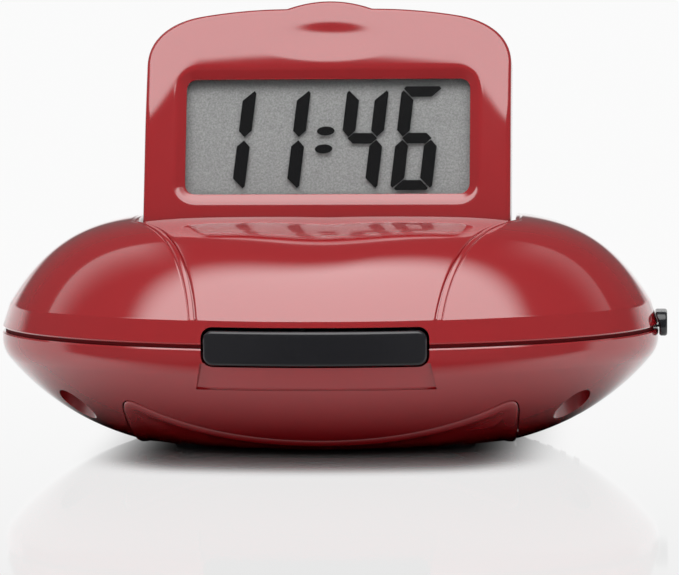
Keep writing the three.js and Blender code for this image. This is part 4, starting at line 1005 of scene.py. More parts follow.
def lower_case(red):
    piece = bowl("lower_case", 0, LOWER_EDGE)
    whole = uncut(piece)
    room = bowl("bowl_room", WALL, LOWER_EDGE + PAST, ROOM_SIDES)
    seat_wall = cover_prism(WALL, 0, LOWER_EDGE - LIP_HEIGHT - FIT)
    combine(seat_wall, bowl("bay_floor", COVER_THICKNESS + FIT + COVER_FLOOR, LOWER_EDGE + PAST, ROOM_SIDES))
    combine(room, seat_wall)
    wide = ROOM_HALF_WIDTH + ROOM_WALL
    deep = ROOM_HALF_DEPTH + ROOM_WALL
    combine(room, block("bay_wall", (-wide, -deep, 0), (wide, deep, ROOM_TOP + ROOM_WALL)))
    for spot in SCREWS.values():
        combine(room, rod("well_wall", WELL_RADIUS + WELL_WALL, 0, LOWER_EDGE, spot))
    at = (SPEAKER_X, 0)
    ring = rod("speaker_seat", SPEAKER_RADIUS + SPEAKER_SEAT_WALL, 0, SPEAKER_SEAT_Z + SPEAKER_RIM, at)
    combine(ring, rod("speaker_hole", SPEAKER_RADIUS + FIT, SPEAKER_SEAT_Z - FIT, FAR, at))
    combine(ring, rod("sound_way", SPEAKER_RADIUS - SPEAKER_SEAT_WALL, 0, FAR, at))
    combine(room, ring)
    combine(piece, room)
    opening = cover_prism(COVER_GROOVE, -PAST, LOWER_EDGE)
    combine(opening, bowl("bay_seat", COVER_THICKNESS + FIT, LOWER_EDGE + PAST, ROOM_SIDES))
    combine(piece, opening)
    combine(piece, block("bay", (-ROOM_HALF_WIDTH, -ROOM_HALF_DEPTH, -PAST),
                         (ROOM_HALF_WIDTH, ROOM_HALF_DEPTH, ROOM_TOP)))
    for spot in SCREWS.values():
        combine(piece, rod("well", WELL_RADIUS, -PAST, WELL_FLOOR, spot, sides=WELL_SIDES))
        combine(piece, rod("screw_hole", SCREW_RADIUS + FIT, -PAST, FAR, spot, sides=HOLE_SIDES))
    half = SLOT_WIDTH / 2
    for offset in spaced(SLOT_COUNT, SLOT_PITCH):
        x = SPEAKER_X + offset
        combine(piece, block("sound_slot", (x - half, -SLOT_HALF_LENGTH, -PAST),
                             (x + half, SLOT_HALF_LENGTH, SPEAKER_SEAT_Z - FIT)))
    combine(piece, scoop())
    combine(piece, snooze_opening())
    for x in SET_PLACES:
        combine(piece, set_hole(x))
    keep_shading(shade(piece), whole)
    finish_piece(piece, "case", red, "red_plastic", "lower_shell")


def battery_cover(red):
    """Cover with rounded edges: its skin follows the bowl, inside and out."""
    def skin_height(point, inset):
        proud = COVER_PROUD * smooth(1 - inset / COVER_PROUD_WIDTH)
        return max(FOOT_STAND / 2, bowl_height(point.x, point.y) - proud)

    def followed(points, inset):
        return [(p.x, p.y, bowl_height(p.x, p.y, inset)) for p in points]

    rim = cover_loop(-COVER_PROUD_WIDTH)
    rows = [followed([point * share for point in rim], 0) for share in COVER_SHARES]
    for inset in COVER_INSETS:
        rows.append([(p.x, p.y, skin_height(p, inset)) for p in cover_loop(-inset)])
    for inset, lift in COVER_ROUNDING:
        rows.append([(p.x, p.y, skin_height(p, inset) + lift) for p in cover_loop(-inset)])
    rows.append(followed(cover_loop(0), COVER_THICKNESS))
    inner = cover_loop(-COVER_INNER_INSET)
    rows += [followed([point * share for point in inner], COVER_THICKNESS) for share in COVER_INNER_SHARES]
    piece = weld(skin("base_cover", [row + row[:1] for row in rows]))
    whole = uncut(piece)
    tab_y = ROOM_HALF_DEPTH - MOVE_FIT
    base = bowl_height(0, tab_y) + COVER_THICKNESS / 2
    for side in (-1, 1):
        y = sorted((side * tab_y, side * (tab_y - COVER_TAB_THICKNESS)))
        tab = block("tab", (-COVER_TAB_WIDTH / 2, y[0], base),
                    (COVER_TAB_WIDTH / 2, y[1], base + COVER_THICKNESS / 2 + COVER_TAB_HEIGHT))
        combine(piece, tab, "UNION")
    top = FOOT_STAND + FOOT_SEAT + FIT
    for x in (-FOOT_X, FOOT_X):
        for y in (-FOOT_Y, FOOT_Y):
            combine(piece, rod("foot_seat", FOOT_RADIUS + FIT, -PAST, top, (x, y)))
    keep_shading(shade(piece), whole)
    finish_piece(piece, "cover", red, "red_plastic", "battery_cover")


def feet(rubber):
    for name, spot in FEET.items():
        piece = rod(f"rubber_foot_{name}", FOOT_RADIUS, 0, FOOT_STAND + FOOT_SEAT, spot, sides=WELL_SIDES)
        soften(piece, FOOT_ROUND)
        shade(piece)
        finish_piece(piece, "cover", rubber, "rubber", f"foot_{name}")


def case_screws(steel):
    seat = WELL_FLOOR - FIT
    low = seat - SCREW_HEAD_HEIGHT
    top = low + SCREW_CROSS_DEPTH
    for name, (x, y) in SCREWS.items():
        head = rod(f"pan_screw_{name}", SCREW_HEAD_RADIUS, low, seat, (x, y))
        soften(head, SCREW_HEAD_ROUND, segments=4)
        shank = rod("shank", SCREW_RADIUS, seat - PAST, WELL_FLOOR + SCREW_LENGTH, (x, y), sides=HOLE_SIDES)
        combine(head, shank, "UNION")
        for wide, deep in (SCREW_CROSS, SCREW_CROSS[::-1]):
            combine(head, block("slot", (x - wide, y - deep, low - PAST), (x + wide, y + deep, top)))
        shade(head)
        finish_piece(head, "case", steel, "steel", f"case_screw_{name}")


# Display

def leaned(piece):
    """Leans a whole piece that was modelled upright about the hinge."""
    turn = Matrix.Translation(Vector((0, HINGE_Y, HINGE_Z)) * MM) @ Matrix.Rotation(-LEAN, 4, "X")
    piece.data.transform(turn)


def panel_outline():
    """The panel's outline: its bottom, its side up to the corner, and its top with the tab."""
    half = PANEL_HALF_WIDTH
    shoulder = PANEL_HEIGHT - PANEL_CROWN
    side = shoulder - PANEL_CORNER
    corner_x = half - PANEL_CORNER
    bend = PANEL_CORNER * CORNER_HANDLE
    crown_x = (corner_x + TAB_HALF_WIDTH) / 2
    tab = TAB_HALF_WIDTH / 3
    top = PANEL_HEIGHT + TAB_RISE
    fall = bend * PANEL_CROWN / (corner_x - crown_x)
    crown_start, crown_bend = Vector((corner_x, shoulder)), Vector((crown_x, PANEL_HEIGHT))
    corner = curve_points(Vector((half, side)), Vector((half, side + bend)),
                          Vector((corner_x + bend, shoulder - fall)), crown_start, CORNER_STEPS)
    crown_stop = Vector((TAB_HALF_WIDTH, PANEL_HEIGHT))
    crown = curve_points(crown_start, mix(crown_start, crown_bend, 2 / 3),
                         mix(crown_stop, crown_bend, 2 / 3), crown_stop, TOP_STEPS)
    rise = curve_points(crown_stop, Vector((2 * tab, PANEL_HEIGHT + TAB_RISE * 2 / 3)), Vector((tab, top)),
                        Vector((0, top)), TOP_STEPS)
    middle = CORNER_STEPS // 2
    low = Vector((half, -PANEL_FRONT))
    return around([Vector((0, -PANEL_FRONT)), low], [low, Vector((half, side))] + corner[:middle],
                  corner[middle - 1:] + crown + rise)


def window_outline(grow):
    """The window's outline, grown outwards, stepped like the panel's."""
    half = WINDOW_HALF_WIDTH + grow
    low = WINDOW_LOW - grow
    high = WINDOW_HIGH + grow
    corner = WINDOW_CORNER + WINDOW_CORNER_GROWTH * grow
    lower, upper = [], []
    for i in range(WINDOW_CORNER_STEPS + 1):
        turn = math.pi / 2 * i / WINDOW_CORNER_STEPS
        cosine, sine = corner * math.cos(turn), corner * math.sin(turn)
        lower.append(Vector((half - corner + sine, low + corner - cosine)))
        upper.append(Vector((half - corner + cosine, high - corner + sine)))
    middle = WINDOW_CORNER_STEPS // 2
    return around([Vector((0, low))] + lower[:middle + 1], lower[middle:] + upper[:middle + 1],
                  upper[middle:] + [Vector((0, high))])


def stack_room():
    """Outline of the square-cornered room for the LCD and its window, stepped like the panel's."""
    border = STACK_BORDER + FIT
    half = WINDOW_HALF_WIDTH + border
    low = Vector((half, WINDOW_LOW - border))
    high = Vector((half, WINDOW_HIGH + border))
    return around([Vector((0, low.y)), low], [low, high], [high, Vector((0, high.y))])


def face_depth(x, z):
    """Place of the display's front face, which rolls back at its top and shoulders, with a thumb rest."""
    if z < 0:
        return -PANEL_FRONT * math.sqrt(max(0, 1 - (z / PANEL_FRONT) ** 2))
    side = smooth((abs(x) - ROLL_SIDE_START) / (ROLL_SIDE_STOP - ROLL_SIDE_START))
    start = ROLL_START - ROLL_SAG * (x / PANEL_HALF_WIDTH) ** 2 - ROLL_SIDE_DROP * side
    t = max(0, (z - start) / ROLL_BEND)
    roll = t ** 3 - t ** 4 / 2 if t < 1 else t - 0.5
    near = 1 - (x / THUMB_HALF_WIDTH) ** 2 - ((z - THUMB_Z) / THUMB_HALF_HEIGHT) ** 2
    return -PANEL_FRONT + ROLL_SLOPE * ROLL_BEND * roll + THUMB_DEPTH * max(0, near) ** 2


def rounded_edge(outline):
    """Loops of a rounded edge, each with its depth below the face."""
    for i in range(EDGE_STEPS + 1):
        turn = math.pi / 2 * i / EDGE_STEPS
        yield drawn_in(outline, PANEL_EDGE * (1 - math.cos(turn))), PANEL_EDGE * (1 - math.sin(turn))


def display_frame(red):
    """Front frame of the display: a closed ring from its outer wall over the face and into the window."""
    outer = panel_outline()
    rows = [stood(outer, PANEL_SPLIT)]
    for loop, depth in rounded_edge(outer):
        rows.append([(p.x, min(PANEL_SPLIT, face_depth(p.x, p.y) + depth), p.y) for p in loop])
    rim = drawn_in(outer, PANEL_EDGE)
    dish = window_outline(WINDOW_DISH[0][0])
    for i in range(1, FACE_ROWS):
        loop = [mix(a, b, i / FACE_ROWS) for a, b in zip(rim, dish)]
        rows.append([(p.x, face_depth(p.x, p.y), p.y) for p in loop])
    for grow, sink in WINDOW_DISH:
        loop = window_outline(grow)
        rows.append([(p.x, face_depth(p.x, p.y) + sink, p.y) for p in loop])
    room = stack_room()
    inner = -PANEL_FRONT + WINDOW_DEPTH + WINDOW_LIP
    rows += [stood(window_outline(0), inner), stood(room, inner), stood(room, PANEL_SPLIT), rows[0]]
    piece = weld(skin("display_frame", rows))
    leaned(piece)
    shade(piece, angle=40)
    finish_piece(piece, "display", red, "red_plastic", "display_bezel")


def display_back(red):
    """Rear cover of the display, hollow towards the LCD."""
    outer = panel_outline()
    front = PANEL_SPLIT + FIT
    room = stack_room()
    centre = Vector((0, (WINDOW_LOW + WINDOW_HIGH) / 2))

    def back(z):
        return PANEL_BACK * math.sqrt(max(0, 1 - (z / PANEL_FRONT) ** 2)) if z < 0 else PANEL_BACK

    rows = []
    for share in BACK_FLOOR_SHARES:
        rows.append(stood([mix(centre, p, share) for p in room], PANEL_BACK - COVER_FACE))
    rows += [stood(room, front), stood(outer, front)]
    for loop, depth in rounded_edge(outer):
        rows.append([(p.x, max(front, back(p.y) - depth), p.y) for p in loop])
    rim = drawn_in(outer, PANEL_EDGE)
    for share in BACK_SHARES:
        loop = [mix(centre, p, share) for p in rim]
        rows.append([(p.x, back(p.y), p.y) for p in loop])
    piece = weld(skin("display_back", rows))
    edge = PANEL_HALF_WIDTH - PANEL_SCREW_EDGE
    seat = PANEL_BACK - PANEL_SCREW_SINK
    for x in (-edge, edge):
        for z in (PANEL_SCREW_LOW, PANEL_SCREW_HIGH):
            combine(piece, rod("screw_well", PANEL_SCREW_HEAD + FIT, seat, FAR, (x, z), "Y"))
    leaned(piece)
    shade(piece, angle=40)
    finish_piece(piece, "display", red, "red_plastic", "display_rear_cover")


# LCD figures

def stroke(points, depth):
    """One dark stroke of a figure, slanted and set in front of the LCD's grey layer."""
    middle = FIGURE_LOW + FIGURE_HEIGHT / 2
    outline = [(x + (z - middle) * FIGURE_SLANT, depth, z) for x, z in points]
    return prism("stroke", outline, (0, FIGURE_THICKNESS, 0))


def figure_bars():
    """Outlines of the seven bars of a figure, mitred where they meet, from its lower left-hand corner."""
    wide, tall = FIGURE_WIDTH, FIGURE_HEIGHT
    up, level = FIGURE_UPRIGHT, FIGURE_LEVEL
    middle = tall / 2
    top = [(0.85, tall), (wide - 0.85, tall), (wide - 0.45, tall - 0.5), (wide - 2.27, tall - level),
           (2.27, tall - level), (0.45, tall - 0.5)]
    right = [(wide, tall - 1.35), (wide - 0.42, tall - 0.85), (wide - up, tall - 2.95),
             (wide - up, middle + 1.65), (wide - up / 2, middle + 0.35), (wide, middle + 1.75)]
    low = [(wide, 1.0), (wide - 0.42, 0.5), (wide - up, 2.6), (wide - up, middle - 1.65),
           (wide - up / 2, middle - 0.35), (wide, middle - 1.75)]
    foot = [(1.15, 0), (wide - 1.15, 0), (wide - 0.8, 0.42), (wide - 2.55, level - 0.1), (2.55, level - 0.1),
            (0.8, 0.42)]
    left, half = up - 0.245, level / 2
    cross = [(1.26, middle), (left, middle + half), (wide - left, middle + half), (wide - 1.26, middle),
             (wide - left, middle - half), (left, middle - half)]

    def across(points):
        return [(wide - x, z) for x, z in points]

    return {"a": top, "b": right, "c": low, "d": foot, "e": across(low), "f": across(right), "g": cross}


def lcd_figures(ink):
    """The time, in dark strokes just in front of the grey layer."""
    face = -PANEL_FRONT + BEZEL_FACE + FIT + LENS_THICKNESS + FIT
    depth = face - FIGURE_LIFT
    bars = figure_bars()
    strokes = []
    for right, figure in zip(FIGURE_RIGHTS, FIGURES):
        for bar in FIGURE_BARS[figure]:
            points = [(right - FIGURE_WIDTH + x, FIGURE_LOW + z) for x, z in bars[bar]]
            strokes.append(stroke(points, depth))
    for z in COLON_HEIGHTS:
        dot = []
        for i in range(COLON_SIDES):
            turn = 2 * math.pi * i / COLON_SIDES
            dot.append((COLON_X + COLON_HALF_WIDTH * math.cos(turn), z + COLON_HALF_HEIGHT * math.sin(turn)))
        strokes.append(stroke(dot, depth))
    piece = joined("lcd_figures", strokes)
    leaned(piece)
    finish_piece(piece, "display", ink, "black_plastic")


# Bar, knob and buttons

def bar_front(x, proud):
    """Front of the body's oval at a place across it."""
    width = BODY_HALF_WIDTH + proud
    return -(BODY_HALF_DEPTH + proud) * math.sqrt(1 - (x / width) ** 2)


def snooze_bar(black):
    """Bar whose face follows the body's oval, with rounded corners and edges."""
    def sides(inset):
        corner = max(SNOOZE_LEAST_CORNER, SNOOZE_CORNER - inset)
        outline = rounded_outline(SNOOZE_HALF_WIDTH - inset, SNOOZE_LOW + inset, SNOOZE_HIGH - inset, corner)
        return zip(outline, outline[1:] + outline[:1])

    pattern = [max(1, round(abs(b[0] - a[0]) / SNOOZE_STEP)) for a, b in sides(0)]

    def ring(inset, sink):
        row = []
        for (a, b), steps in zip(sides(inset), pattern):
            for i in range(steps):
                x = mix(a[0], b[0], i / steps)
                z = mix(a[1], b[1], i / steps)
                row.append((x, bar_front(x, SNOOZE_PROUD) + sink, z))
        return row + row[:1]

    middle = (SNOOZE_LOW + SNOOZE_HIGH) / 2
    flat = [(x, y, middle) for x, y, z in ring(SNOOZE_MIDDLE_INSET, SNOOZE_DEPTH)]
    rows = [flat, ring(0, SNOOZE_DEPTH), ring(0, SNOOZE_ROUND)]
    for i in range(1, EDGE_STEPS + 1):
        turn = math.pi / 2 * i / EDGE_STEPS
        rows.append(ring(SNOOZE_ROUND * (1 - math.cos(turn)), SNOOZE_ROUND * (1 - math.sin(turn))))
    rows += [ring(inset, 0) for inset in SNOOZE_FACE_INSETS]
    rows.append([(x, y, middle) for x, y, z in ring(SNOOZE_MIDDLE_INSET, 0)])
    piece = weld(skin("wide_bar", rows))
    shade(piece)
    finish_piece(piece, "snooze", black, "black_plastic", "snooze_bar")


def slide_knob(black):
    """Knob whose inner side leans in along the band above the parting line."""
    near = BODY_HALF_WIDTH + MODE_FIT
    outer = BODY_HALF_WIDTH + MODE_PROUD
    inset = BAND_INSET * (MODE_HIGH - UPPER_EDGE) / (CREASE_Z - UPPER_EDGE)
    outline = [(near, MODE_LOW), (outer, MODE_LOW), (outer, MODE_HIGH), (near - inset, MODE_HIGH),
               (near, UPPER_EDGE)]
    half = MODE_HALF_LENGTH
    piece = prism("slide_knob", [(x, -half, z) for x, z in outline], (0, 2 * half, 0))
    ends = rounded_outline(half, MODE_LOW, MODE_HIGH, MODE_END_ROUND)
    combine(piece, prism("knob_ends", [(near - WALL, y, z) for y, z in ends], (FAR, 0, 0)), "INTERSECT")
    soften(piece, MODE_ROUND, segments=4)
    for y in spaced(MODE_GROOVES, MODE_GROOVE_PITCH):
        spot = (outer + MODE_GROOVE_LIFT, y)
        combine(piece, rod("groove", MODE_GROOVE_RADIUS, 0, FAR, spot, sides=MODE_GROOVE_SIDES))
    tall = MODE_STEM_HEIGHT / 2
    root = near + MODE_STEM_ROOT
    stem = block("stem", (root - MODE_STEM_REACH, -MODE_STEM_HALF, PARTING_Z - tall),
                 (root, MODE_STEM_HALF, PARTING_Z + tall))
    combine(piece, stem, "UNION")
    shade(piece)
    finish_piece(piece, "knob", black, "black_plastic", "mode_knob")


def set_buttons(black):
    rear = BODY_HALF_DEPTH - SET_DEPTH
    outline = rounded_outline(SET_WIDTH / 2, SET_Z - SET_HEIGHT / 2, SET_Z + SET_HEIGHT / 2, SET_CORNER)
    for name, x in zip(SET_NAMES, SET_PLACES):
        piece = prism(f"key_{name}", [(x + px, rear, pz) for px, pz in outline], (0, FAR, 0))
        combine(piece, oval_plug("key_face", -SET_PROUD, 0, FAR), "INTERSECT")
        soften(piece, SET_ROUND)
        shade(piece)
        finish_piece(piece, f"{name}_key", black, "black_plastic", f"set_button_{name}")


# Materials

def linear(red, green, blue):
    """A screen colour, from 0 to 255, as a shader colour."""
    channels = []
    for value in (red, green, blue):
        share = value / 255
        channels.append(share / 12.92 if share <= 0.04045 else ((share + 0.055) / 1.055) ** 2.4)
    return (*channels, 1)


def feed(tree, value, entry):
    """Gives an entry of a node a socket to read, or a constant."""
    if isinstance(value, bpy.types.NodeSocket):
        tree.links.new(value, entry)
    else:
        entry.default_value = value


def ramp(tree, source, low, high, start=0, stop=1, curve="SMOOTHSTEP"):
    """A ramp over a value, from start at low to stop at high."""
    node = tree.nodes.new("ShaderNodeMapRange")
    node.interpolation_type = curve
    settings = {"Value": source, "From Min": low, "From Max": high, "To Min": start, "To Max": stop}
    for name, value in settings.items():
        feed(tree, value, node.inputs[name])
    return node.outputs["Result"]


def maths(tree, operation, *values, kind="ShaderNodeMath", output=0):
    """What an operation makes of sockets and constants."""
    node = tree.nodes.new(kind)
    node.operation = operation
    for value, entry in zip(values, node.inputs):
        feed(tree, value, entry)
    return node.outputs[output]


def vectors(tree, operation, *values, output="Vector"):
    return maths(tree, operation, *values, kind="ShaderNodeVectorMath", output=output)


def product(tree, first, second):
    return maths(tree, "MULTIPLY", first, second)


def mixed(tree, share, first, second, kind="FLOAT"):
    """A value or colour between two others."""
    node = tree.nodes.new("ShaderNodeMix")
    node.data_type = kind
    for name, value in {"Factor": share, "A": first, "B": second}.items():
        feed(tree, value, node.inputs[name])
    return node.outputs["Result"]


def sides_of(tree, source):
    """The X, Y and Z of a vector."""
    node = tree.nodes.new("ShaderNodeSeparateXYZ")
    tree.links.new(source, node.inputs[0])
    return node.outputs


def speckle_group():
    """Fine and broad variation of a moulded surface, over object coordinates."""
    group = bpy.data.node_groups.new("moulded_surface", "ShaderNodeTree")
    names = ("Fine", "Broad")
    for name in names:
        group.interface.new_socket(f"{name} Scale", in_out="INPUT", socket_type="NodeSocketFloat")
    for name in names:
        group.interface.new_socket(name, in_out="OUTPUT", socket_type="NodeSocketFloat")
    entry = group.nodes.new("NodeGroupInput")
    leave = group.nodes.new("NodeGroupOutput")
    spot = group.nodes.new("ShaderNodeTexCoord").outputs["Object"]
    for name in names:
        noise = group.nodes.new("ShaderNodeTexNoise")
        noise.inputs["Detail"].default_value = NOISE_DETAIL
        group.links.new(spot, noise.inputs["Vector"])
        group.links.new(entry.outputs[f"{name} Scale"], noise.inputs["Scale"])
        group.links.new(noise.outputs["Fac"], leave.inputs[name])
    return group


SURFACE = speckle_group()


def finish(name, dark, light, roughness, fine, broad, bump, metallic=0.0, coat=0.0, gloss=0.5):
    """A material with colour, roughness and relief that vary finely over the surface."""
    material = bpy.data.materials.new(name)
    material.use_nodes = True
    tree = material.node_tree
    surface = tree.nodes.new("ShaderNodeGroup")
    surface.node_tree = SURFACE
    surface.inputs["Fine Scale"].default_value = fine
    surface.inputs["Broad Scale"].default_value = broad
    grain = surface.outputs["Fine"]
    relief = tree.nodes.new("ShaderNodeBump")
    relief.inputs["Strength"].default_value = bump
    relief.inputs["Distance"].default_value = RELIEF_HEIGHT
    tree.links.new(grain, relief.inputs["Height"])
    settings = {
        "Base Color": mixed(tree, surface.outputs["Broad"], linear(*dark), linear(*light), "RGBA"),
        "Roughness": ramp(tree, grain, 0, 1, *roughness, curve="LINEAR"),
        "Normal": relief.outputs["Normal"],
        "Metallic": metallic,
        "Coat Weight": coat,
        "Coat Roughness": COAT_ROUGHNESS,
        "Coat IOR": COAT_IOR,
        "Specular IOR Level": gloss,
    }
    for entry, value in settings.items():
        feed(tree, value, tree.nodes["Principled BSDF"].inputs[entry])
    return material


def clear_window():
    """Clear sheet that mirrors a little, more at a slant, and lets the rest of the light through."""
    material = finish("clear_window", (246, 247, 247), (252, 252, 252), (0.04, 0.1), 900, 30, 0.02,
                      metallic=1.0)
    tree = material.node_tree
    slant = tree.nodes.new("ShaderNodeLayerWeight").outputs["Facing"]
    steep = maths(tree, "POWER", slant, WINDOW_SLANT_POWER)
    share = ramp(tree, steep, 0, 1, WINDOW_MIRROR, curve="LINEAR")
    tree.links.new(share, tree.nodes["Principled BSDF"].inputs["Alpha"])
    return material


def lcd_grey():
    """Grainy grey layer, darkened towards its top by a painted shadow of the frame's upper edge."""
    material = finish("lcd_grey", (88, 89, 89), (186, 187, 186), (0.4, 0.55), 3000, 2700, 0.05)
    tree = material.node_tree
    colour = tree.nodes["Principled BSDF"].inputs["Base Color"]
    grain = colour.links[0].from_socket
    spot = tree.nodes.new("ShaderNodeTexCoord").outputs["Object"]
    upward = (0, math.sin(LEAN), math.cos(LEAN))
    height = vectors(tree, "DOT_PRODUCT", spot, upward, output="Value")
    top = HINGE_Y * math.sin(LEAN) + HINGE_Z * math.cos(LEAN) + WINDOW_HIGH
    low, high = (top - LCD_PAINTED_SHADOW_LOW) * MM, (top + LCD_PAINTED_SHADOW_HIGH) * MM
    # Painted shadow: the grey darkens towards the window's top edge
    painted_shadow_share = ramp(tree, height, low, high, 0, LCD_PAINTED_SHADOW_SHARE)
    tree.links.new(mixed(tree, painted_shadow_share, grain, linear(*LCD_PAINTED_SHADOW), "RGBA"), colour)
    return material


# Each finish has a darker and a paler colour, a range of roughness, a fine and a broad scale, and a relief
RED = finish("red_gloss", (152, 22, 28), (158, 25, 31), (0.08, 0.14), 260, 14, 0.012, coat=1.0)
# Darker, matt red for the ring and seal in the parting gap: painted shade of the gap
PAINTED_SHADE_RED = finish("painted_shade_red", (88, 10, 15), (98, 12, 18), (0.6, 0.8), 900, 40, 0.05, gloss=0.1)
BLACK = finish("black_satin", (20, 20, 24), (28, 28, 33), (0.2, 0.3), 1600, 40, 0.06, coat=0.3)
LCD = lcd_grey()
INK = finish("lcd_ink", (6, 6, 8), (12, 12, 14), (0.5, 0.6), 900, 60, 0.02, gloss=0.05)
WINDOW = clear_window()
WHITE = finish("white_diffuser", (232, 232, 228), (242, 242, 238), (0.5, 0.6), 500, 30, 0.05)
BOARD = finish("green_board", (20, 78, 44), (34, 104, 60), (0.35, 0.5), 700, 420, 0.1)
STEEL = finish("zinc_steel", (150, 152, 156), (190, 192, 194), (0.22, 0.4), 1400, 90, 0.06, metallic=1.0)
BRASS = finish("plain_brass", (176, 142, 70), (206, 172, 96), (0.22, 0.38), 1200, 80, 0.05, metallic=1.0)
RUBBER = finish("matt_rubber", (22, 22, 24), (34, 34, 36), (0.75, 0.9), 2200, 120, 0.3)
JACKET = finish("cell_jacket", (36, 84, 52), (52, 104, 66), (0.25, 0.4), 600, 60, 0.04, metallic=0.3)

SLOT_MATERIALS = {
    "red_plastic": RED, "black_plastic": BLACK, "clear_window": WINDOW, "lcd": LCD, "white_plastic": WHITE,
    "circuit_board": BOARD, "steel": STEEL, "brass": BRASS, "rubber": RUBBER, "cell_jacket": JACKET,
}


def dress_frame():
    """Gives every CAD node the material of its slot."""
    for subpart in frame["record"]["subparts"]:
        node = frame["nodes"][subpart["node"]]
        node.data.materials.clear()
        node.data.materials.append(SLOT_MATERIALS[subpart["material_slot"]])


# Camera, light and floor

def camera():
    look = Vector((-math.sin(VIEW_AZIMUTH) * math.cos(VIEW_ELEVATION),
                   math.cos(VIEW_AZIMUTH) * math.cos(VIEW_ELEVATION), -math.sin(VIEW_ELEVATION)))
    right = Vector((math.cos(VIEW_AZIMUTH), math.sin(VIEW_AZIMUTH), 0))
    up = right.cross(look)
    turned_right = right * math.cos(VIEW_ROLL) + up * math.sin(VIEW_ROLL)
    turned_up = up * math.cos(VIEW_ROLL) - right * math.sin(VIEW_ROLL)
    spot = (Vector(VIEW_TARGET) - look * VIEW_DISTANCE) * MM
    lens = bpy.data.cameras.new("camera")
    lens.sensor_width = SENSOR
    lens.lens = VIEW_FOCAL * SENSOR / IMAGE_WIDTH
    lens.shift_x = (IMAGE_WIDTH / 2 - VIEW_CENTRE[0]) / IMAGE_WIDTH
    lens.shift_y = (VIEW_CENTRE[1] - IMAGE_HEIGHT / 2) / IMAGE_WIDTH
    lens.clip_start = NEAREST
    viewer = bpy.data.objects.new("camera", lens)
    rotation = Matrix((turned_right, turned_up, -look)).transposed()
    viewer.matrix_world = Matrix.Translation(spot) @ rotation.to_4x4()
    bpy.context.scene.collection.objects.link(viewer)
    bpy.context.scene.camera = viewer


def overhead(name, spot, size, power):
    """An area lamp that faces down, with nodes for its level over its own sides."""
    lamp = bpy.data.lights.new(name, "AREA")
    lamp.shape = "RECTANGLE"
    lamp.size, lamp.size_y = size
    lamp.energy = power
    lamp.use_nodes = True
    holder = bpy.data.objects.new(name, lamp)
    holder.location = spot
    holder.visible_camera = False
    bpy.context.scene.collection.objects.link(holder)
    return lamp.node_tree


def main_softbox():
    """A lamp whose light fades towards the four sides of a diamond."""
    tree = overhead("main_softbox", SOFTBOX_SPOT, SOFTBOX_SIZE, SOFTBOX_POWER)
    spot = tree.nodes.new("ShaderNodeNewGeometry").outputs["Parametric"]
    apart = vectors(tree, "ABSOLUTE", vectors(tree, "SUBTRACT", spot, (LAMP_MIDDLE, LAMP_MIDDLE, 0)))
    reach = vectors(tree, "DOT_PRODUCT", apart, (1, 1, 0), output="Value")
    tree.links.new(ramp(tree, reach, *SOFTBOX_FADE), tree.nodes["Emission"].inputs["Strength"])


def side_strip(name, x, y, near, power):
    """A lamp over one side, brightest at its straight rear edge; near is its end next to the middle."""
    tree = overhead(name, (x, y, STRIP_Z), STRIP_SIZE, power)
    sides = sides_of(tree, tree.nodes.new("ShaderNodeNewGeometry").outputs["Parametric"])
    back = ramp(tree, sides["Y"], 0, 1)
    out = ramp(tree, sides["X"], near, mix(LAMP_MIDDLE, near, STRIP_FADE))
    tree.links.new(product(tree, back, out), tree.nodes["Emission"].inputs["Strength"])


def layered(tree, share, first, second):
    """Two shaders as one, by the share of the second."""
    node = tree.nodes.new("ShaderNodeMixShader")
    for source, entry in zip((share, first.outputs[0], second.outputs[0]), node.inputs):
        tree.links.new(source, entry)
    return node


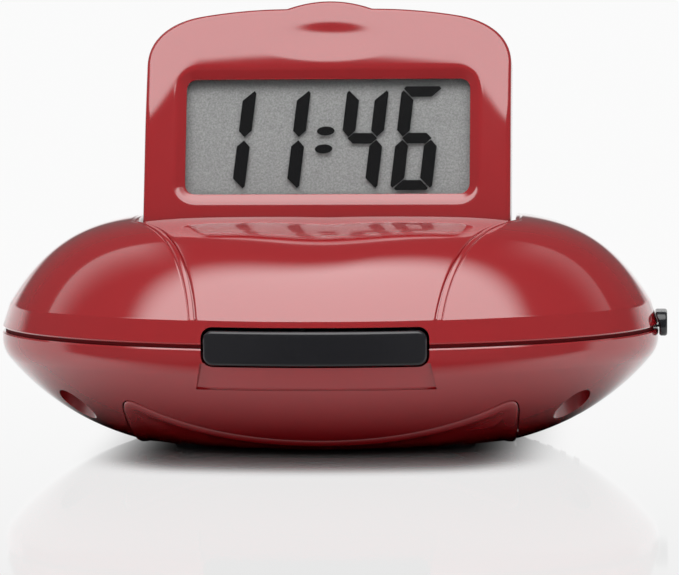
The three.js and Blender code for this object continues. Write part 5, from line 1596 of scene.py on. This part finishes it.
def floor():
    """A white table that mirrors faintly and runs into the white backdrop; near the object its matt colour
    and its glow seen in reflections are darkened as painted contact shadow.
    """
    sheet = fresh("white_table", bpy.ops.mesh.primitive_plane_add, size=TABLE_SIZE, location=(0, 0, 0))
    material = bpy.data.materials.new("white_table")
    material.use_nodes = True
    tree = material.node_tree
    tree.nodes.remove(tree.nodes["Principled BSDF"])
    spot = tree.nodes.new("ShaderNodeTexCoord").outputs["Object"]
    rays = tree.nodes.new("ShaderNodeLightPath").outputs
    reach = vectors(tree, "LENGTH", vectors(tree, "MULTIPLY", spot, TABLE_STRETCH), output="Value")
    sides = sides_of(tree, spot)
    across = maths(tree, "ABSOLUTE", sides["X"])
    matt = tree.nodes.new("ShaderNodeBsdfDiffuse")
    # Matt colour, darker near the object as painted contact shadow
    tree.links.new(ramp(tree, reach, *TABLE_COLOUR_AND_PAINTED_SHADE), matt.inputs["Color"])
    mirror = tree.nodes.new("ShaderNodeBsdfGlossy")
    mirror.inputs["Roughness"].default_value = TABLE_GLOSS
    white = tree.nodes.new("ShaderNodeEmission")
    # Glow seen in reflections, dimmed near the object as painted contact shadow
    near = product(tree, ramp(tree, reach, *TABLE_REFLECTED_PAINTED_SHADOW_NEAR), ramp(tree, across, *TABLE_MIRRORED_ACROSS))
    mirrored = product(tree, near, ramp(tree, sides["Y"], *TABLE_MIRRORED_FRONT))
    tree.links.new(mixed(tree, rays["Is Glossy Ray"], 1.0, mirrored), white.inputs["Strength"])
    contact = product(tree, ramp(tree, reach, *CONTACT_NEAR), ramp(tree, across, *CONTACT_ACROSS))
    lit = maths(tree, "MAXIMUM", ramp(tree, contact, *CONTACT_GLOW), rays["Is Glossy Ray"])
    looked = maths(tree, "MAXIMUM", rays["Is Camera Ray"], rays["Is Glossy Ray"])
    looked = maths(tree, "MAXIMUM", looked, rays["Is Transmission Ray"])
    glow = layered(tree, product(tree, lit, looked), matt, white)
    shine = product(tree, ramp(tree, contact, *CONTACT_MIRROR), rays["Is Camera Ray"])
    table = layered(tree, shine, glow, mirror)
    tree.links.new(table.outputs[0], tree.nodes["Material Output"].inputs["Surface"])
    sheet.data.materials.append(material)


def world():
    """White backdrop for the camera, and behind the object for reflections, in a dimmer studio."""
    surroundings = bpy.data.worlds.new("studio")
    bpy.context.scene.world = surroundings
    surroundings.use_nodes = True
    tree = surroundings.node_tree
    backdrop = tree.nodes["Background"]
    sides = sides_of(tree, tree.nodes.new("ShaderNodeTexCoord").outputs["Generated"])
    rays = tree.nodes.new("ShaderNodeLightPath").outputs
    across = maths(tree, "ABSOLUTE", sides["X"])
    behind = product(tree, ramp(tree, sides["Y"], *BEHIND_Y), ramp(tree, sides["Z"], *BEHIND_Z))
    beside = product(tree, ramp(tree, across, *BESIDE_X), ramp(tree, sides["Z"], *BESIDE_Z))
    beside = product(tree, beside, ramp(tree, sides["Y"], *BESIDE_Y))
    white = maths(tree, "MAXIMUM", behind, beside)
    mirrored = mixed(tree, white, ramp(tree, sides["Y"], *STUDIO_MIRRORED), 1.0)
    reflected = maths(tree, "MAXIMUM", rays["Is Glossy Ray"], rays["Is Transmission Ray"])
    fill = mixed(tree, reflected, STUDIO_FILL, mirrored)
    tree.links.new(mixed(tree, rays["Is Camera Ray"], fill, 1.0), backdrop.inputs["Strength"])
    backdrop.inputs["Color"].default_value = (1, 1, 1, 1)


dress_frame()
upper_case(RED)
parting_lip(PAINTED_SHADE_RED)
lower_case(RED)
battery_cover(RED)
feet(RUBBER)
case_screws(STEEL)
display_frame(RED)
display_back(RED)
lcd_figures(INK)
snooze_bar(BLACK)
slide_knob(BLACK)
set_buttons(BLACK)
camera()
main_softbox()
for strip in STRIPS:
    side_strip(*strip)
floor()
world()
bpy.context.scene.view_settings.view_transform = "Standard"
